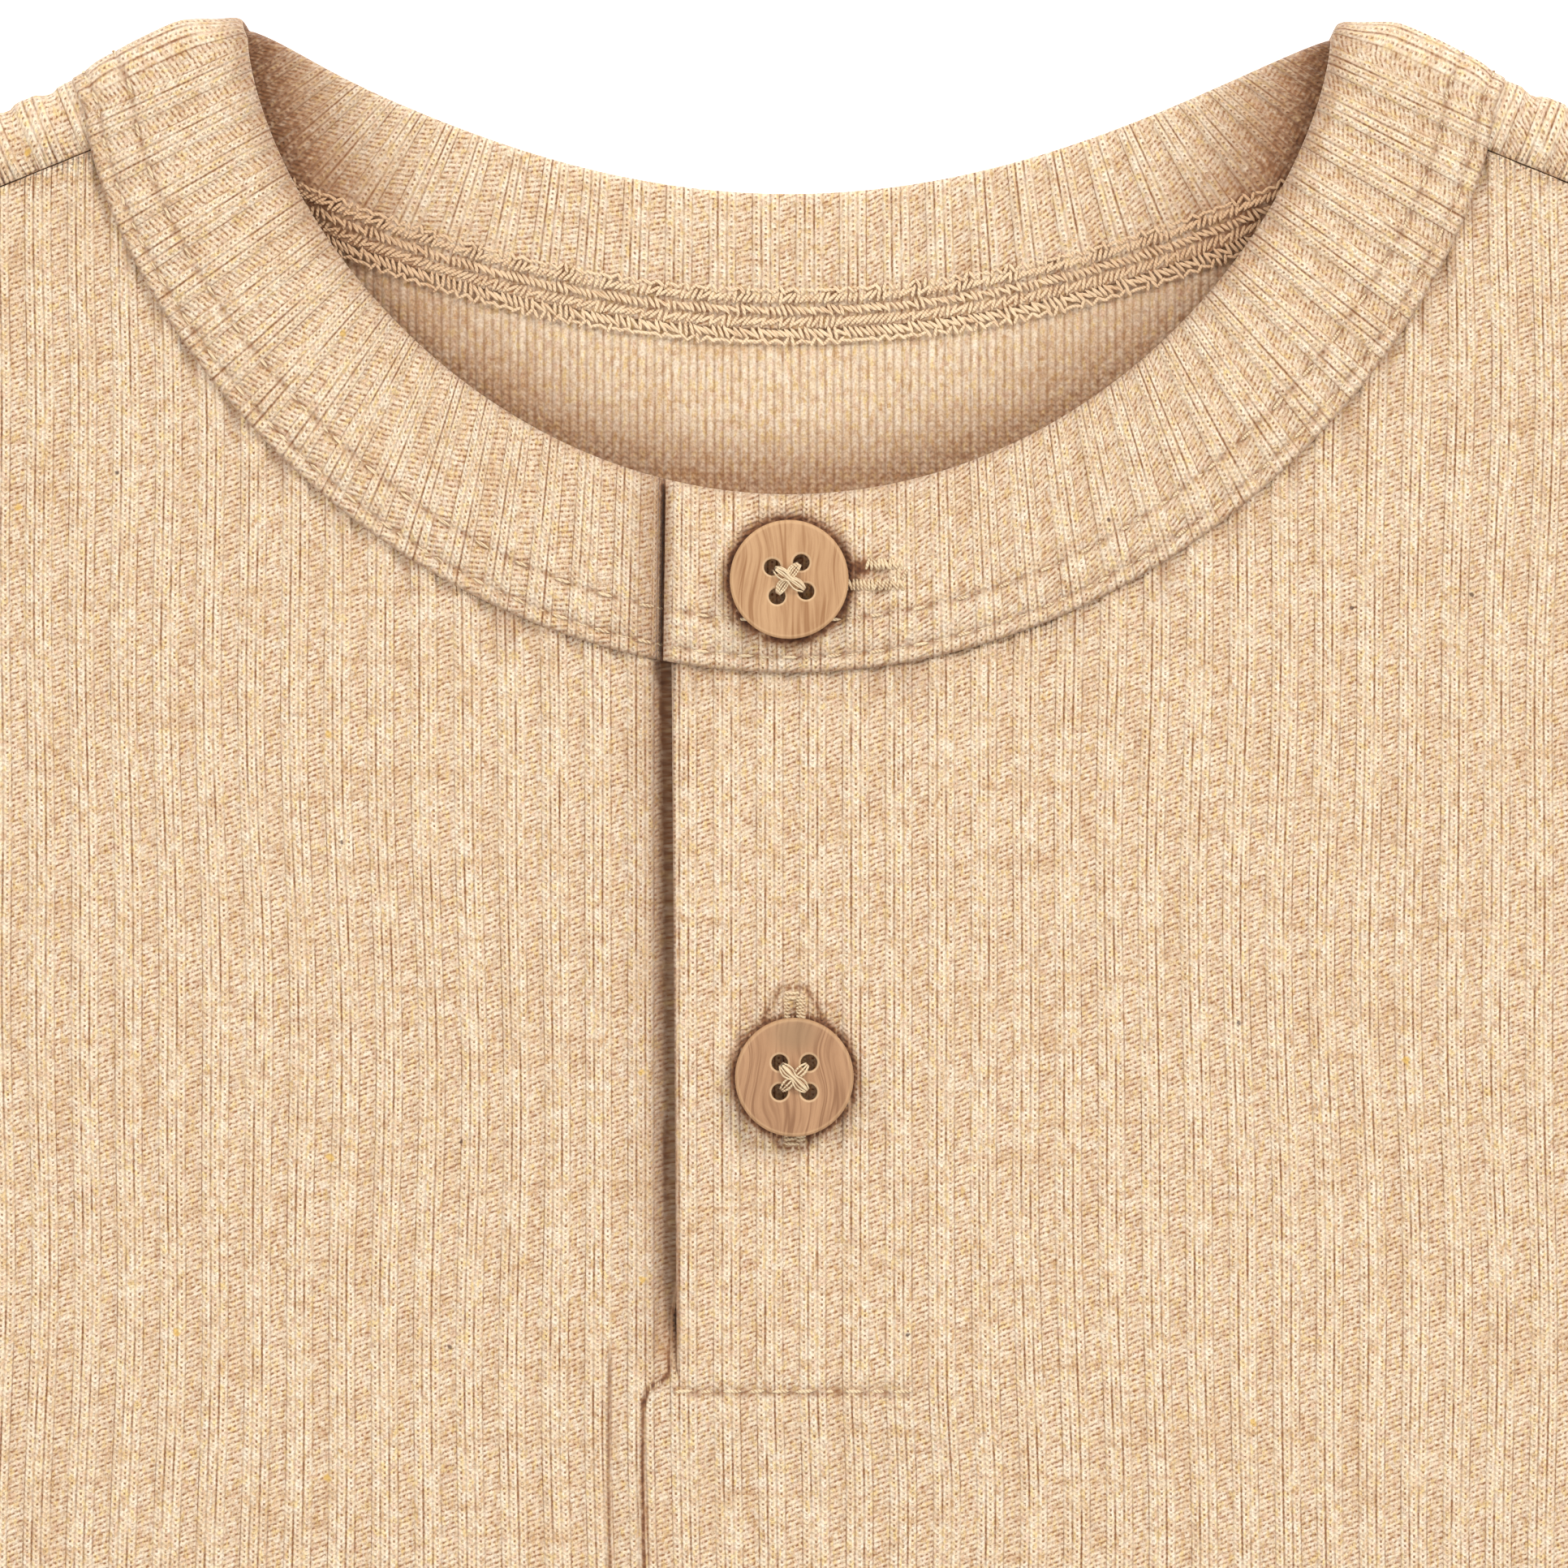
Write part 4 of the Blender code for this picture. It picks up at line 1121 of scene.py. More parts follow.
def slit_shade(x: np.ndarray, y: np.ndarray) -> np.ndarray:
    """How much painted shade darkens points in and beside the slit.

    The right front rolls down into it. It is darkest where the two fronts part, and opens upwards.
    """
    gap = slit_x(y) - x
    open_share = smooth((y - SLIT_FOOT_Y - 1) / 8)
    gape = bell(y - SLIT_WIDE_Y, 20) * open_share
    past = gap - 0.8 * open_share - 0.3 * gape
    left = 1 - smooth(past / (0.3 + 0.3 * gape))
    right = 0.62 + 0.38 * bell(past, 0.3)
    core = np.where(past > 0, left, right) * (0.72 - 0.08 * open_share - 0.16 * bell(y - SLIT_TIGHT_Y, 8))
    rolled = np.maximum(core, 0.34 * bell(gap, 3.2))
    beside = np.where(gap > 0, rolled, 0.5 * bell(gap, 0.4))
    return beside * smooth((y - SLIT_FOOT_Y + 1.5) / 3)


def front_shade(points: np.ndarray) -> np.ndarray:
    """How much painted shade darkens points of the front: in the slit, under the neckband's edge, round the
    lower button, at the placket's stitches and along its shade lines.
    """
    x, y = points.T
    neck = line_distance(FRONT_SEAM.line(-FRONT_NECK_X, FRONT_NECK_X, 60), x, y)
    button = BUTTON_LOWER.away(x, y) - BUTTON_RADIUS
    holes = 0.5 + 0.5 * np.cos(math.tau * x / PLACKET_STITCH.pitch)
    row = bell(y - PLACKET_ROW_Y, 0.4) * (np.abs(x) < PLACKET_RIGHT_X + 0.4)
    shades = [slit_shade(x, y), 0.38 * bell(neck, 0.7), 0.95 * bell(button, 0.5), row * (0.2 + 0.4 * holes)]
    return np.maximum.reduce([*shades, *(crevice.shade(x, y) for crevice in SHADE_LINES)])


def back_shade(points: np.ndarray) -> np.ndarray:
    """How deep in shade points of the back lie: under the front's neckband and along their own seam."""
    x, y = points.T
    edge = line_distance(FRONT_FOLD.line(-FRONT_FOLD.half, FRONT_FOLD.half, 60), x, y)
    seam = line_distance(BACK_SEAM.line(-BACK_SEAM.half, BACK_SEAM.half, 60), x, y)
    return np.maximum(0.48 * bell(edge, 6.0), 0.08 * bell(seam, 1.5)) * (y < -12)


def back_turned(points: np.ndarray, side: float) -> np.ndarray:
    """Where points of the back's pattern lie. Past the shoulder's fold, y counts along the cloth."""
    x, y = points.T
    foot_y = fold_y(x)
    beyond = y - foot_y
    over = (beyond > 0) & (np.abs(x) > BACK_SEAM.half - TUCK - 0.1)
    out = np.full_like(x, side * CLOTH / 2)
    if side > 0:
        out += rib_rise(x) * smooth(beyond / FOLD_LENGTH * 2)
    normal = rows_of(np.sign(x) * FOLD_NORMAL[0], FOLD_NORMAL[1])
    turned = folded(rows_of(x, foot_y), normal, np.maximum(beyond, 0.0), out)
    flat = rows_of(x, y, BACK_LEVEL - side * CLOTH / 2)
    return np.where(over[:, None], turned, flat)


# Where the front's points are closer together: across and along, each from, to and by what step
FINE_GRIDS = (
    ((-4, 5, 0.3), (-99, -93, 0.35)),  # the pulled cloth over the lower button, and under it
    ((-4, 5, 0.3), (-111, -106, 0.35)),
    ((-19.5, -12.5, 0.2), (-176, -128, 2.0)),  # the creases below the slit
    ((-15.5, -10.4, 0.24), (-136, -128, 0.3)),  # the curl at its foot
)


def front_panel(finish: RibKnit) -> KnitWall:
    """The front with the fronts of both legs, slit for the placket."""
    seam_away = SHOULDER_LAP + SEWN_GAP

    def is_below_seam(point: Point) -> bool:
        return (fold_y(point[0]) - point[1]) * FOLD_NORMAL[1] > seam_away + 0.3

    end = Vector(SHOULDER_POINT) - Vector(FOLD_NORMAL) * seam_away
    neck_x = FRONT_NECK_X - TUCK
    neck_y = float(fold_y(neck_x)) - seam_away / FOLD_NORMAL[1]
    armhole = [p for p in armhole_line(-HALF_SEAM) if is_below_seam(p)]
    half = leg_line() + armhole + [(end.x - HALF_SEAM, end.y), (neck_x, neck_y)]
    slit_y = FRONT_SEAM.low - 0.5 + TUCK
    upper = (slit_x(slit_y) + SLIT_GAP / 2, slit_y)
    lower = (slit_x(slit_y) - SLIT_GAP / 2, slit_y)
    left_neck = moved_out(FRONT_SEAM.line(FRONT_NECK_X, upper[0] + 1.0, 50), TUCK)
    right_neck = moved_out(FRONT_SEAM.line(lower[0] - 1.0, -FRONT_NECK_X, 50), TUCK)
    slit = [upper, (slit_x(SLIT_FOOT_Y), SLIT_FOOT_Y), lower]
    outline = half + [p for p in left_neck if is_below_seam(p)] + slit
    outline += [p for p in right_neck if is_below_seam(p)] + mirrored(half)[:-1]
    columns = spaced(-140 + FURROW_X, 140, COLUMN)
    near = columns[np.abs(columns) < 20]
    outer = [
        crossings(columns, spaced(HEM_Y - 2.5, 0, ROW)),
        crossings(near, spaced(-141, -127, 0.7)),  # the placket's foot
        crossings(near, spaced(-114, -91, 1.6)),  # round the lower button
        *(crossings(spaced(*across), spaced(*along)) for across, along in FINE_GRIDS),
    ]
    inner = [
        crossings(spaced(-140, 140, 8.0), spaced(HEM_Y, 0, 12.0)),
        crossings(spaced(-20, -4, 1.5), spaced(-140, -50, 4.0)),
    ]
    return KnitWall("front", outline, front_turned, outer, inner, finish, front_shade)


def back_panel(finish: RibKnit) -> KnitWall:
    """The back with the backs of both legs. It goes over the shoulders to their seams."""
    end = FOLD_LENGTH + SHOULDER_LAP
    end_x = SHOULDER_END_X - HALF_SEAM
    neck_x = BACK_SEAM.half - TUCK
    seam_x = neck_x + 0.85
    shoulder = [(end_x, fold_y(end_x)), (end_x, fold_y(end_x) + end), (seam_x, fold_y(seam_x) + end)]
    shoulder += [(neck_x, fold_y(neck_x) + FOLD_LENGTH), (neck_x, fold_y(neck_x))]
    half = leg_line() + armhole_line(-HALF_SEAM)[:-1] + [(x, float(y)) for x, y in shoulder]
    neck = moved_out(BACK_SEAM.line(neck_x, -neck_x, 60), TUCK)
    neck = [p for p in neck if p[1] < fold_y(p[0]) - 0.2 and abs(p[0]) < neck_x - 0.2]
    outline = half + neck + mirrored(half)[:-1]
    columns = spaced(neck_x, end_x, COLUMN)
    turn = crossings(columns, spaced(0, end, 0.7))
    turn[:, 1] += fold_y(turn[:, 0])
    coarse = crossings(spaced(neck_x, end_x, 4.0), spaced(0, end, 1.2))
    coarse[:, 1] += fold_y(coarse[:, 0])
    level = crossings(spaced(-120, 120, 20.0), spaced(HEM_Y, -60, 20.0))
    outer = [turn, turn * (-1, 1), level]
    inner = [coarse, coarse * (-1, 1), level]
    neck_rows = crossings(spaced(-66, 66, 2.0), spaced(-60, -10, 2.0))
    return KnitWall("back", outline, back_turned, outer, [*inner, neck_rows], finish, back_shade)


def sleeve(side: Side, finish: RibKnit) -> KnitWall:
    """A sleeve, folded at the top, with its edges together under the arm."""
    left = side.value
    shoulder = np.array(SHOULDER_POINT)
    along_way, across_way = np.array(SLEEVE_ALONG), np.array(SLEEVE_ACROSS)

    def pattern(point: Point) -> Point:
        away = np.array(point) - shoulder
        return float(away @ across_way), float(away @ along_way)

    def under(line: list[Point]) -> list[Point]:
        return [(-FOLD_LENGTH - across, along) for across, along in reversed(line)]

    def place(points: np.ndarray, out: float) -> np.ndarray:
        across, along = points.T
        rise = np.zeros_like(across)
        if out > 0:
            rise = rib_rise(across) * smooth((across / FOLD_LENGTH + 1) * 2)
            hem = smooth(along - SLEEVE_LENGTH + HEM_DEPTH + 1)
            rise = rise + HEM_RISE * hem * smooth(across / FOLD_LENGTH + 1)
        foot = shoulder + along_way * along[:, None]
        flat = foot + across_way * np.maximum(across, 0.0)[:, None]
        upper = front_level(flat[:, 0], flat[:, 1]) + out * CLOTH / 2 + rise
        turned = folded(foot, -across_way, np.maximum(across + FOLD_LENGTH, 0.0), out * CLOTH / 2 + rise)
        below = foot - across_way * np.minimum(across + FOLD_LENGTH, 0.0)[:, None]
        lower = np.full_like(across, BACK_LEVEL - out * CLOTH / 2)
        result = np.where((across >= 0)[:, None], np.column_stack([flat, upper]), turned)
        result = np.where((across < -FOLD_LENGTH)[:, None], np.column_stack([below, lower]), result)
        return result * (left, 1, 1)

    armhole = [pattern(p) for p in armhole_line(HALF_SEAM)]
    hem = [pattern(p) for p in (SLEEVE_HEM_FOOT, SLEEVE_HEM_TOP)]
    outline = armhole + under(armhole) + under(hem) + hem[::-1]
    upper_columns = spaced(-FOLD_LENGTH + FURROW_X, 130, COLUMN)
    turn_rows = spaced(-60, 130, ROW)
    outer = [
        crossings(upper_columns, turn_rows),
        crossings(spaced(-140, -FOLD_LENGTH, 8.0), spaced(-60, 130, 8.0)),
    ]
    inner = [
        crossings(spaced(-FOLD_LENGTH, 0, 1.0), spaced(-60, 130, 10.0)),
        crossings(spaced(-140, 130, 6.0), spaced(-60, 130, 10.0)),
    ]
    return KnitWall(f"{side.name.lower()}_sleeve", outline, place, outer, inner, finish)


def button_stand(finish: RibKnit) -> KnitWall:
    """The strip under the slit that carries the lower button."""

    def place(points: np.ndarray, side: float) -> np.ndarray:
        return rows_of(*points.T, STAND_LEVEL + side * STAND_CLOTH / 2)

    left = SLIT_TOP_X + SLIT_LAP + 2 * SEAM
    top = moved_out(FRONT_SEAM.line(PLACKET_RIGHT_X, left, 16), -HALF_SEAM)
    outline = [(left + 0.7, STAND_FOOT_Y), (PLACKET_RIGHT_X, STAND_FOOT_Y), *top]
    level = crossings(spaced(-9, 10, 2.0), spaced(-130, -65, 10.0))
    return KnitWall("button_stand", outline, place, [level], [level], finish)


# Neckband


@dataclass(frozen=True)
class Station:
    """A section of the neckband, from its seam to its folded edge.

    The angle is 0 where the band lies on the back and half a turn where it lies on the front.
    lift is the height of its middle, and under is 1 where it lies under its other end.
    """

    seam: Point
    fold: Point
    normal: Point
    angle: float
    lift: float
    under: float = 0.0

    def front_share(self) -> float:
        """0 on the back, 1 on the front."""
        return float(smooth(self.angle / math.pi))

    def crown(self, away: float) -> float:
        """How far the band's middle stands out over its edges."""
        return BAND_CROWN * float(smooth(away / 4) * smooth((self.width() - away) / 5))

    def width(self) -> float:
        """The band's width here."""
        return math.dist(self.seam, self.fold)

    def point(self, away: float, out: float) -> Vector:
        """The point that lies away from the seam, and out from the band's middle."""
        across = away / self.width()
        x = mix(self.seam[0], self.fold[0], across)
        y = mix(self.seam[1], self.fold[1], across)
        turned = math.sin(self.angle)
        droop = 1 - 0.42 * float(smooth((across - 0.64) / 0.36))
        beside = ((FOLD_RADIUS + out) * droop + 0.5 * math.sin(math.pi * min(across, 1.0))) * turned
        z = self.lift - out * math.cos(self.angle)
        return Vector((x + self.normal[0] * beside, y + self.normal[1] * beside, z))

    def upward(self) -> Vector:
        """The direction out of the band's outside here."""
        beside = math.sin(self.angle)
        return Vector((self.normal[0] * beside, self.normal[1] * beside, -math.cos(self.angle)))


@dataclass
class Neckband:
    """The band round the neck: folded double, and lapped at the placket under the top button.

    Its lip is the seam's rolled edge on the side that shows, and its notch makes room for that lip
    on the other side. opening is the middle of the buttonhole's open end, and peak is how far the
    back of the band rises at the right shoulder. grooves holds how far from the seam each row of
    stitches runs, and how deep it sinks. places says where the points across the band lie, from
    the seam to where they are evenly spread.
    """

    finish: RibKnit
    edge_radius: float = 1.15
    end_round: float = 0.9
    lip_reach: float = 0.3
    lip_foot: float = 0.2
    notch: float = 1.8
    opening: Point = (6.7, -53.4)
    peak: float = 0.95
    grooves: tuple[Point, ...] = ((1.2, 0.3), (4.7, 0.26))
    places: tuple[float, ...] = (
        0.5, 0.8, 1.0, 1.2, 1.4, 1.6, 2.1, 2.9, 3.8, 4.3, 4.5, 4.7, 4.9, 5.2, 5.8,
    )  # fmt: skip
    stations: list[Station] = field(default_factory=list)

    def __post_init__(self) -> None:
        """Work out points along the front's folded edge."""
        self.front_edge = FRONT_FOLD.line(-FRONT_FOLD.half, FRONT_FOLD.half, 40)

    @staticmethod
    def fold_angle(seam_angle: float) -> float:
        """The angle on the folded edge that is across from an angle on the seam."""
        spread = FRONT_SEAM.half / FRONT_FOLD.half - 1
        part = math.sin(seam_angle) * (1 + spread * (1 - float(smooth(abs(seam_angle)))))
        return math.asin(min(max(part, -1.0), 1.0))

    def front(self, angle: float, lapped: bool = False) -> Station:
        """A station on the front, over the other end, or lapped under it."""
        x, y = seam = FRONT_SEAM.point(angle)
        fold = FRONT_FOLD.point(self.fold_angle(angle))
        slit = float(slit_x(y))
        share = 0.0
        if lapped:
            share = 1.0 if x > slit else float(under_share(x, y))
            level = float(front_level(min(x, slit - UNDER_ROLL), y)) + BAND_LIFT
            lift = mix(level, BAND_UNDER_LEVEL, share)
        else:
            lift = float(front_level(max(x, slit + 0.1) if abs(x) < 20 else x, y)) + BAND_LIFT
        return Station(seam, fold, (0.0, 1.0), math.pi, lift, share)

    def back(self, angle: float) -> Station:
        """A station on the back."""
        x, y = BACK_FOLD.point(self.fold_angle(angle))
        fold = (x, y + self.peak * float(bell(x + BACK_FOLD.half, 7.0)))
        return Station(BACK_SEAM.point(angle), fold, (0.0, 1.0), 0.0, BAND_CLOTH / 2)

    def turn(self, left: int, angle: float) -> Station:
        """A station where the band turns over the shoulder."""
        seam = (left * BACK_SEAM.half, BACK_SEAM.high)
        peak = self.peak * (0.5 + 0.5 * math.cos(angle)) if left < 0 else 0.0
        fold = (left * BACK_FOLD.half, BACK_FOLD.high + peak)
        across = Vector(seam) - Vector(fold)
        normal = Vector((-left * across.y, left * across.x)).normalized()
        lift = BAND_CLOTH / 2 + FOLD_RADIUS * (1 - math.cos(angle))
        return Station(seam, fold, tuple(normal), angle, lift)

    def stretch(self, make: Callable[[float], Station], start: float, end: float) -> list[Station]:
        """Stations from start to end, evenly apart, with a whole number of ribs."""
        steps = np.linspace(start, end, 121)
        middles = np.array([make(step).point(8.0, 0.0) for step in steps])
        lengths = np.append(0.0, np.cumsum(np.linalg.norm(np.diff(middles, axis=0), axis=1)))
        count = RIB_COLUMNS * round(lengths[-1] / RIB_PITCH)
        places = np.interp(np.linspace(0, lengths[-1], count + 1), lengths, steps)
        return [make(place) for place in places]

    def lay_out(self) -> None:
        """Work out the stations, from the band's upper end round the neck to its lower end."""
        quarter = math.pi / 2
        start = FRONT_SEAM.angle(BAND_END_X)
        end = FRONT_SEAM.angle(BAND_UNDER_END_X)
        self.stations = self.stretch(self.front, start, quarter)
        self.stations += self.stretch(lambda angle: self.turn(1, angle), math.pi, 0.0)[1:]
        self.stations += self.stretch(self.back, quarter, -quarter)[1:]
        self.stations += self.stretch(lambda angle: self.turn(-1, angle), 0.0, math.pi)[1:]
        self.stations += self.stretch(lambda angle: self.front(angle, True), -quarter, end)[1:]

    def hole(self, k: int) -> float:
        """1 where the needle went in near station k, falling to 0 between."""
        return (0.5 + 0.5 * math.cos(math.tau * k * COLUMN / NECK_STITCH.pitch)) ** 2

    def outside(self, k: int, away: float, rib: float) -> float:
        """How far the outside stands out from the band's middle."""
        station = self.stations[k]
        sewn = sum(depth * bell(away - groove, 0.4) for groove, depth in self.grooves)
        sewn = sewn * (0.6 + 0.4 * self.hole(k)) - 0.13 * bell(away - 2.9, 1.2) * (1 - self.hole(k))
        calm = 1 - 0.6 * math.exp(-((away / 2.4) ** 2))
        bulge = 0.0
        if station.angle == math.pi and not station.under:
            reach = BUTTON_TOP.away(*station.point(away, 0.0).xy)
            bulge = 0.55 * bell(reach - BUTTON_RADIUS - 1.55, 0.9) - 0.3 * bell(reach, 4.5)
        shaped = (station.crown(away) - sewn + bulge) * (1 - station.under) + rib * calm
        return BAND_CLOTH / 2 + station.front_share() * shaped

    def inside(self, k: int, away: float, rib: float) -> float:
        """How far the inside stands out from the band's middle. It is thin at the back's seam."""
        station = self.stations[k]
        back = 1 - station.front_share()
        thin = 1 - 0.55 * back * (1 - float(smooth(away / 4.5)))
        return BAND_CLOTH / 2 * thin + back * (station.crown(away) + rib * float(smooth(away / 3)))

    def ring(self, k: int) -> list[tuple[float, float, int]]:
        """The section at station k: how far from the seam, how far out, and the side of each point."""
        station = self.stations[k]
        rib = float(rib_rise(FURROW_X + k * COLUMN))
        last = station.width() - self.edge_radius
        places = [*self.places, *np.linspace(self.places[-1], last, 16)[1:]]
        front = float(smooth(station.angle / math.pi * 3 - 0.5))
        outer = self.lip(front, self.outside(k, 0.5, rib), 1)
        outer += [(p, self.outside(k, p, rib), 1) for p in self.spread(places, 1 - front)]
        inner = self.lip(1 - front, self.inside(k, 0.5, rib), -1)
        inner += [(p, -self.inside(k, p, rib), -1) for p in self.spread(places, front)]
        top, foot = outer[-1][1], -inner[-1][1]
        turn = []
        for step in range(1, 10):
            angle = math.pi * step / 10
            high, side = (top, 1) if step < 5 else (foot, -1)
            turn.append((last + self.edge_radius * math.sin(angle), high * math.cos(angle), side))
        ends = min(k, len(self.stations) - 1 - k) * COLUMN
        fade = math.sqrt(max(1 - (1 - min(ends / self.end_round, 1.0)) ** 2, 0.0))
        squeeze = mix(0.35, 1.0, fade)
        return [(away, out * squeeze, side) for away, out, side in (*outer, *turn, *reversed(inner))]

    def spread(self, places: list[float], other: float) -> list[float]:
        """The places across one side, kept clear of the notch that the other side's lip needs."""
        first = mix(places[0], self.notch + 0.2, max(2 * other - 1, 0.0))
        scale = (places[-1] - first) / (places[-1] - places[0])
        return [first + (p - places[0]) * scale for p in places]

    def lip(self, share: float, height: float, side: int) -> list[tuple[float, float, int]]:
        """The seam's edge on one side of the band.

        Args:
            share: 1 for a rolled lip, which hides the seam, and 0 for a notch behind the other lip.
            height: how far out the band's surface is.
            side: 1 on the outside, -1 on the inside.

        Returns:
            How far from the seam and how far out each point is, and its side.
        """
        lip, notch = max(2 * share - 1, 0.0), max(1 - 2 * share, 0.0)
        low = self.lip_foot if side > 0 else height - 0.27
        if notch:
            edge = mix(HALF_SEAM, self.notch, notch)
            low = mix(low, -0.1, notch)
            rows = ((0.0, 0.0), (0.0, 0.3), (0.0, 0.6), (0.02, 0.8), (0.1, 1.0))
        else:
            edge = mix(HALF_SEAM, -self.lip_reach, lip)
            deep = self.notch * lip
            rows = ((0.9 * deep, 0.0), (0.4 * deep, 0.0), (0.0, 0.35), (0.08, 0.75), (0.3, 1.0))
        return [(edge + inset, side * mix(low, height, rise), side) for inset, rise in rows]

    def inner_shade(self, k: int, away: float, spot: Vector) -> float:
        """How much painted shade darkens a point of the inside: by the seam, and under the front's fold."""
        if self.stations[k].angle >= math.pi / 2:
            return 0.0
        edge = min(math.dist(spot[:2], p) for p in self.front_edge)
        return max(0.3 * bell(away - 0.9, 2.3), 0.6 * bell(edge, 7.5))

    def outer_shade(self, k: int, away: float, spot: Vector) -> float:
        """How much painted shade darkens a point of the outside: under its lip, by its folded edge, in its
        stitch rows, at its ends, round the top button and in the buttonhole's opening.
        """
        station = self.stations[k]
        sewn = 0.16 + 0.4 * self.hole(k)
        shoulder = float(smooth((abs(spot.x) - 34) / 16))
        fold = mix(0.16, 0.36, shoulder) * bell(station.width() - away, mix(0.9, 1.9, shoulder))
        lip = 0.34 * bell(away + self.lip_reach, 0.36)
        depths = [lip, fold, *(sewn * bell(away - groove, 0.32) for groove, _ in self.grooves)]
        if station.under or k > len(self.stations) * 0.9:
            gap = max(BAND_END_X - spot.x, 0.0)
            depths += [0.7 * bell(gap, 0.6), 0.35 * bell(gap, 3.0)]
        elif station.angle == math.pi:
            hole = math.hypot((spot.x - self.opening[0]) / 1.5, (spot.y - self.opening[1]) / 0.9)
            button = BUTTON_TOP.away(spot.x, spot.y) - BUTTON_RADIUS - 0.05
            depths += [0.95 * bell(button, 0.55), 0.35 * bell(k * COLUMN, 0.4), bell(hole, 1.0)]
        return max(depths)

    def build(self) -> bpy.types.Object:
        """Make the band: rings of points round its stations, and a cap at each end."""
        self.lay_out()
        rings = [self.ring(k) for k in range(len(self.stations))]
        size = len(rings[0])
        points, uv, shade = [], [], []
        for k, (station, ring) in enumerate(zip(self.stations, rings)):
            for away, out, side in ring:
                spot = station.point(away, out)
                points.append(tuple(spot))
                uv.append((k * COLUMN, away if side > 0 else 2 * station.width() - away))
                shaded = self.outer_shade if side > 0 else self.inner_shade
                shade.append(shaded(k, away, spot))
        faces = bands(0, len(rings), size)
        last = (len(rings) - 1) * size
        caps = [list(range(size)), [last + j for j in reversed(range(size))]]
        knit = [self.finish.outside()]
        obj = mesh_object("neck_ribbing", np.array(points), faces + caps, knit, np.array(uv), shade=shade)
        with edited(obj) as bm:
            bmesh.ops.triangulate(bm, faces=[face for face in bm.faces if len(face.verts) > 4])
        facing_out(obj)
        return obj

    def cut(self) -> tuple[tuple[float, float], float]:
        """The flat size and the area of the band as it shows, which is half of its folded cut."""
        widths = [station.width() * MM for station in self.stations]
        length = len(widths) * COLUMN * MM
        return (length, max(widths)), length * sum(widths) / len(widths)

    def row(self, away: float, inner: bool, first: float, last: float, lift: float) -> Seam:
        """A line along the band, for stitches.

        Args:
            away: how far from the seam it runs.
            inner: whether it is on the inside.
            first: where along the stations it starts, from 0 to 1.
            last: where it ends.
            lift: how far above the surface it lies.

        Returns:
            The line, with the way out of the cloth at each of its points.
        """
        count = len(self.stations) - 1
        points, normals = [], []
        side, surface = (-1, self.inside) if inner else (1, self.outside)
        for k in range(round(first * count), round(last * count) + 1):
            station = self.stations[k]
            height = surface(k, max(away, HALF_SEAM), 0.25 * float(smooth(away / 2)))
            points.append(tuple(station.point(away, side * (height + lift))))
            normals.append(tuple(station.upward() * side))
        return Seam(points, normals)


# Stitches


@dataclass
class Seam:
    """A line that stitches follow, with the way out of the cloth at each of its points."""

    points: list[Point]
    normals: list[tuple[float, float, float]]


@dataclass(frozen=True)
class StitchStyle:
    """The shape of a row of stitches, in millimetres, and how far they are turned, in degrees.

    lean turns all of them, swing turns every other one the other way, and stray is random.
    """

    length: float
    width: float
    height: float
    pitch: float
    lean: float = 0.0
    swing: float = 0.0
    stray: float = 5.0
    seed: int = 1


NECK_STITCH = StitchStyle(1.75, 0.34, 0.26, 2.15, stray=4.0, seed=3)
LOOP_EDGE = StitchStyle(1.2, 0.36, 0.3, 0.66, swing=38.0, stray=40.0, seed=12)
HEM_STITCH = StitchStyle(1.9, 0.34, 0.24, 2.3, stray=3.0, seed=11)
PLACKET_STITCH = StitchStyle(2.0, 0.42, 0.3, 2.3, stray=6.0, seed=14)
SATIN_STITCH = StitchStyle(0.34, 1.1, 0.26, 0.31, stray=14.0, seed=22)
BAR_STITCH = StitchStyle(2.5, 0.34, 0.34, 1.0, stray=4.0, seed=23)
GATHERED_STITCH = StitchStyle(0.36, 1.3, 0.5, 0.36, stray=28.0, seed=24)


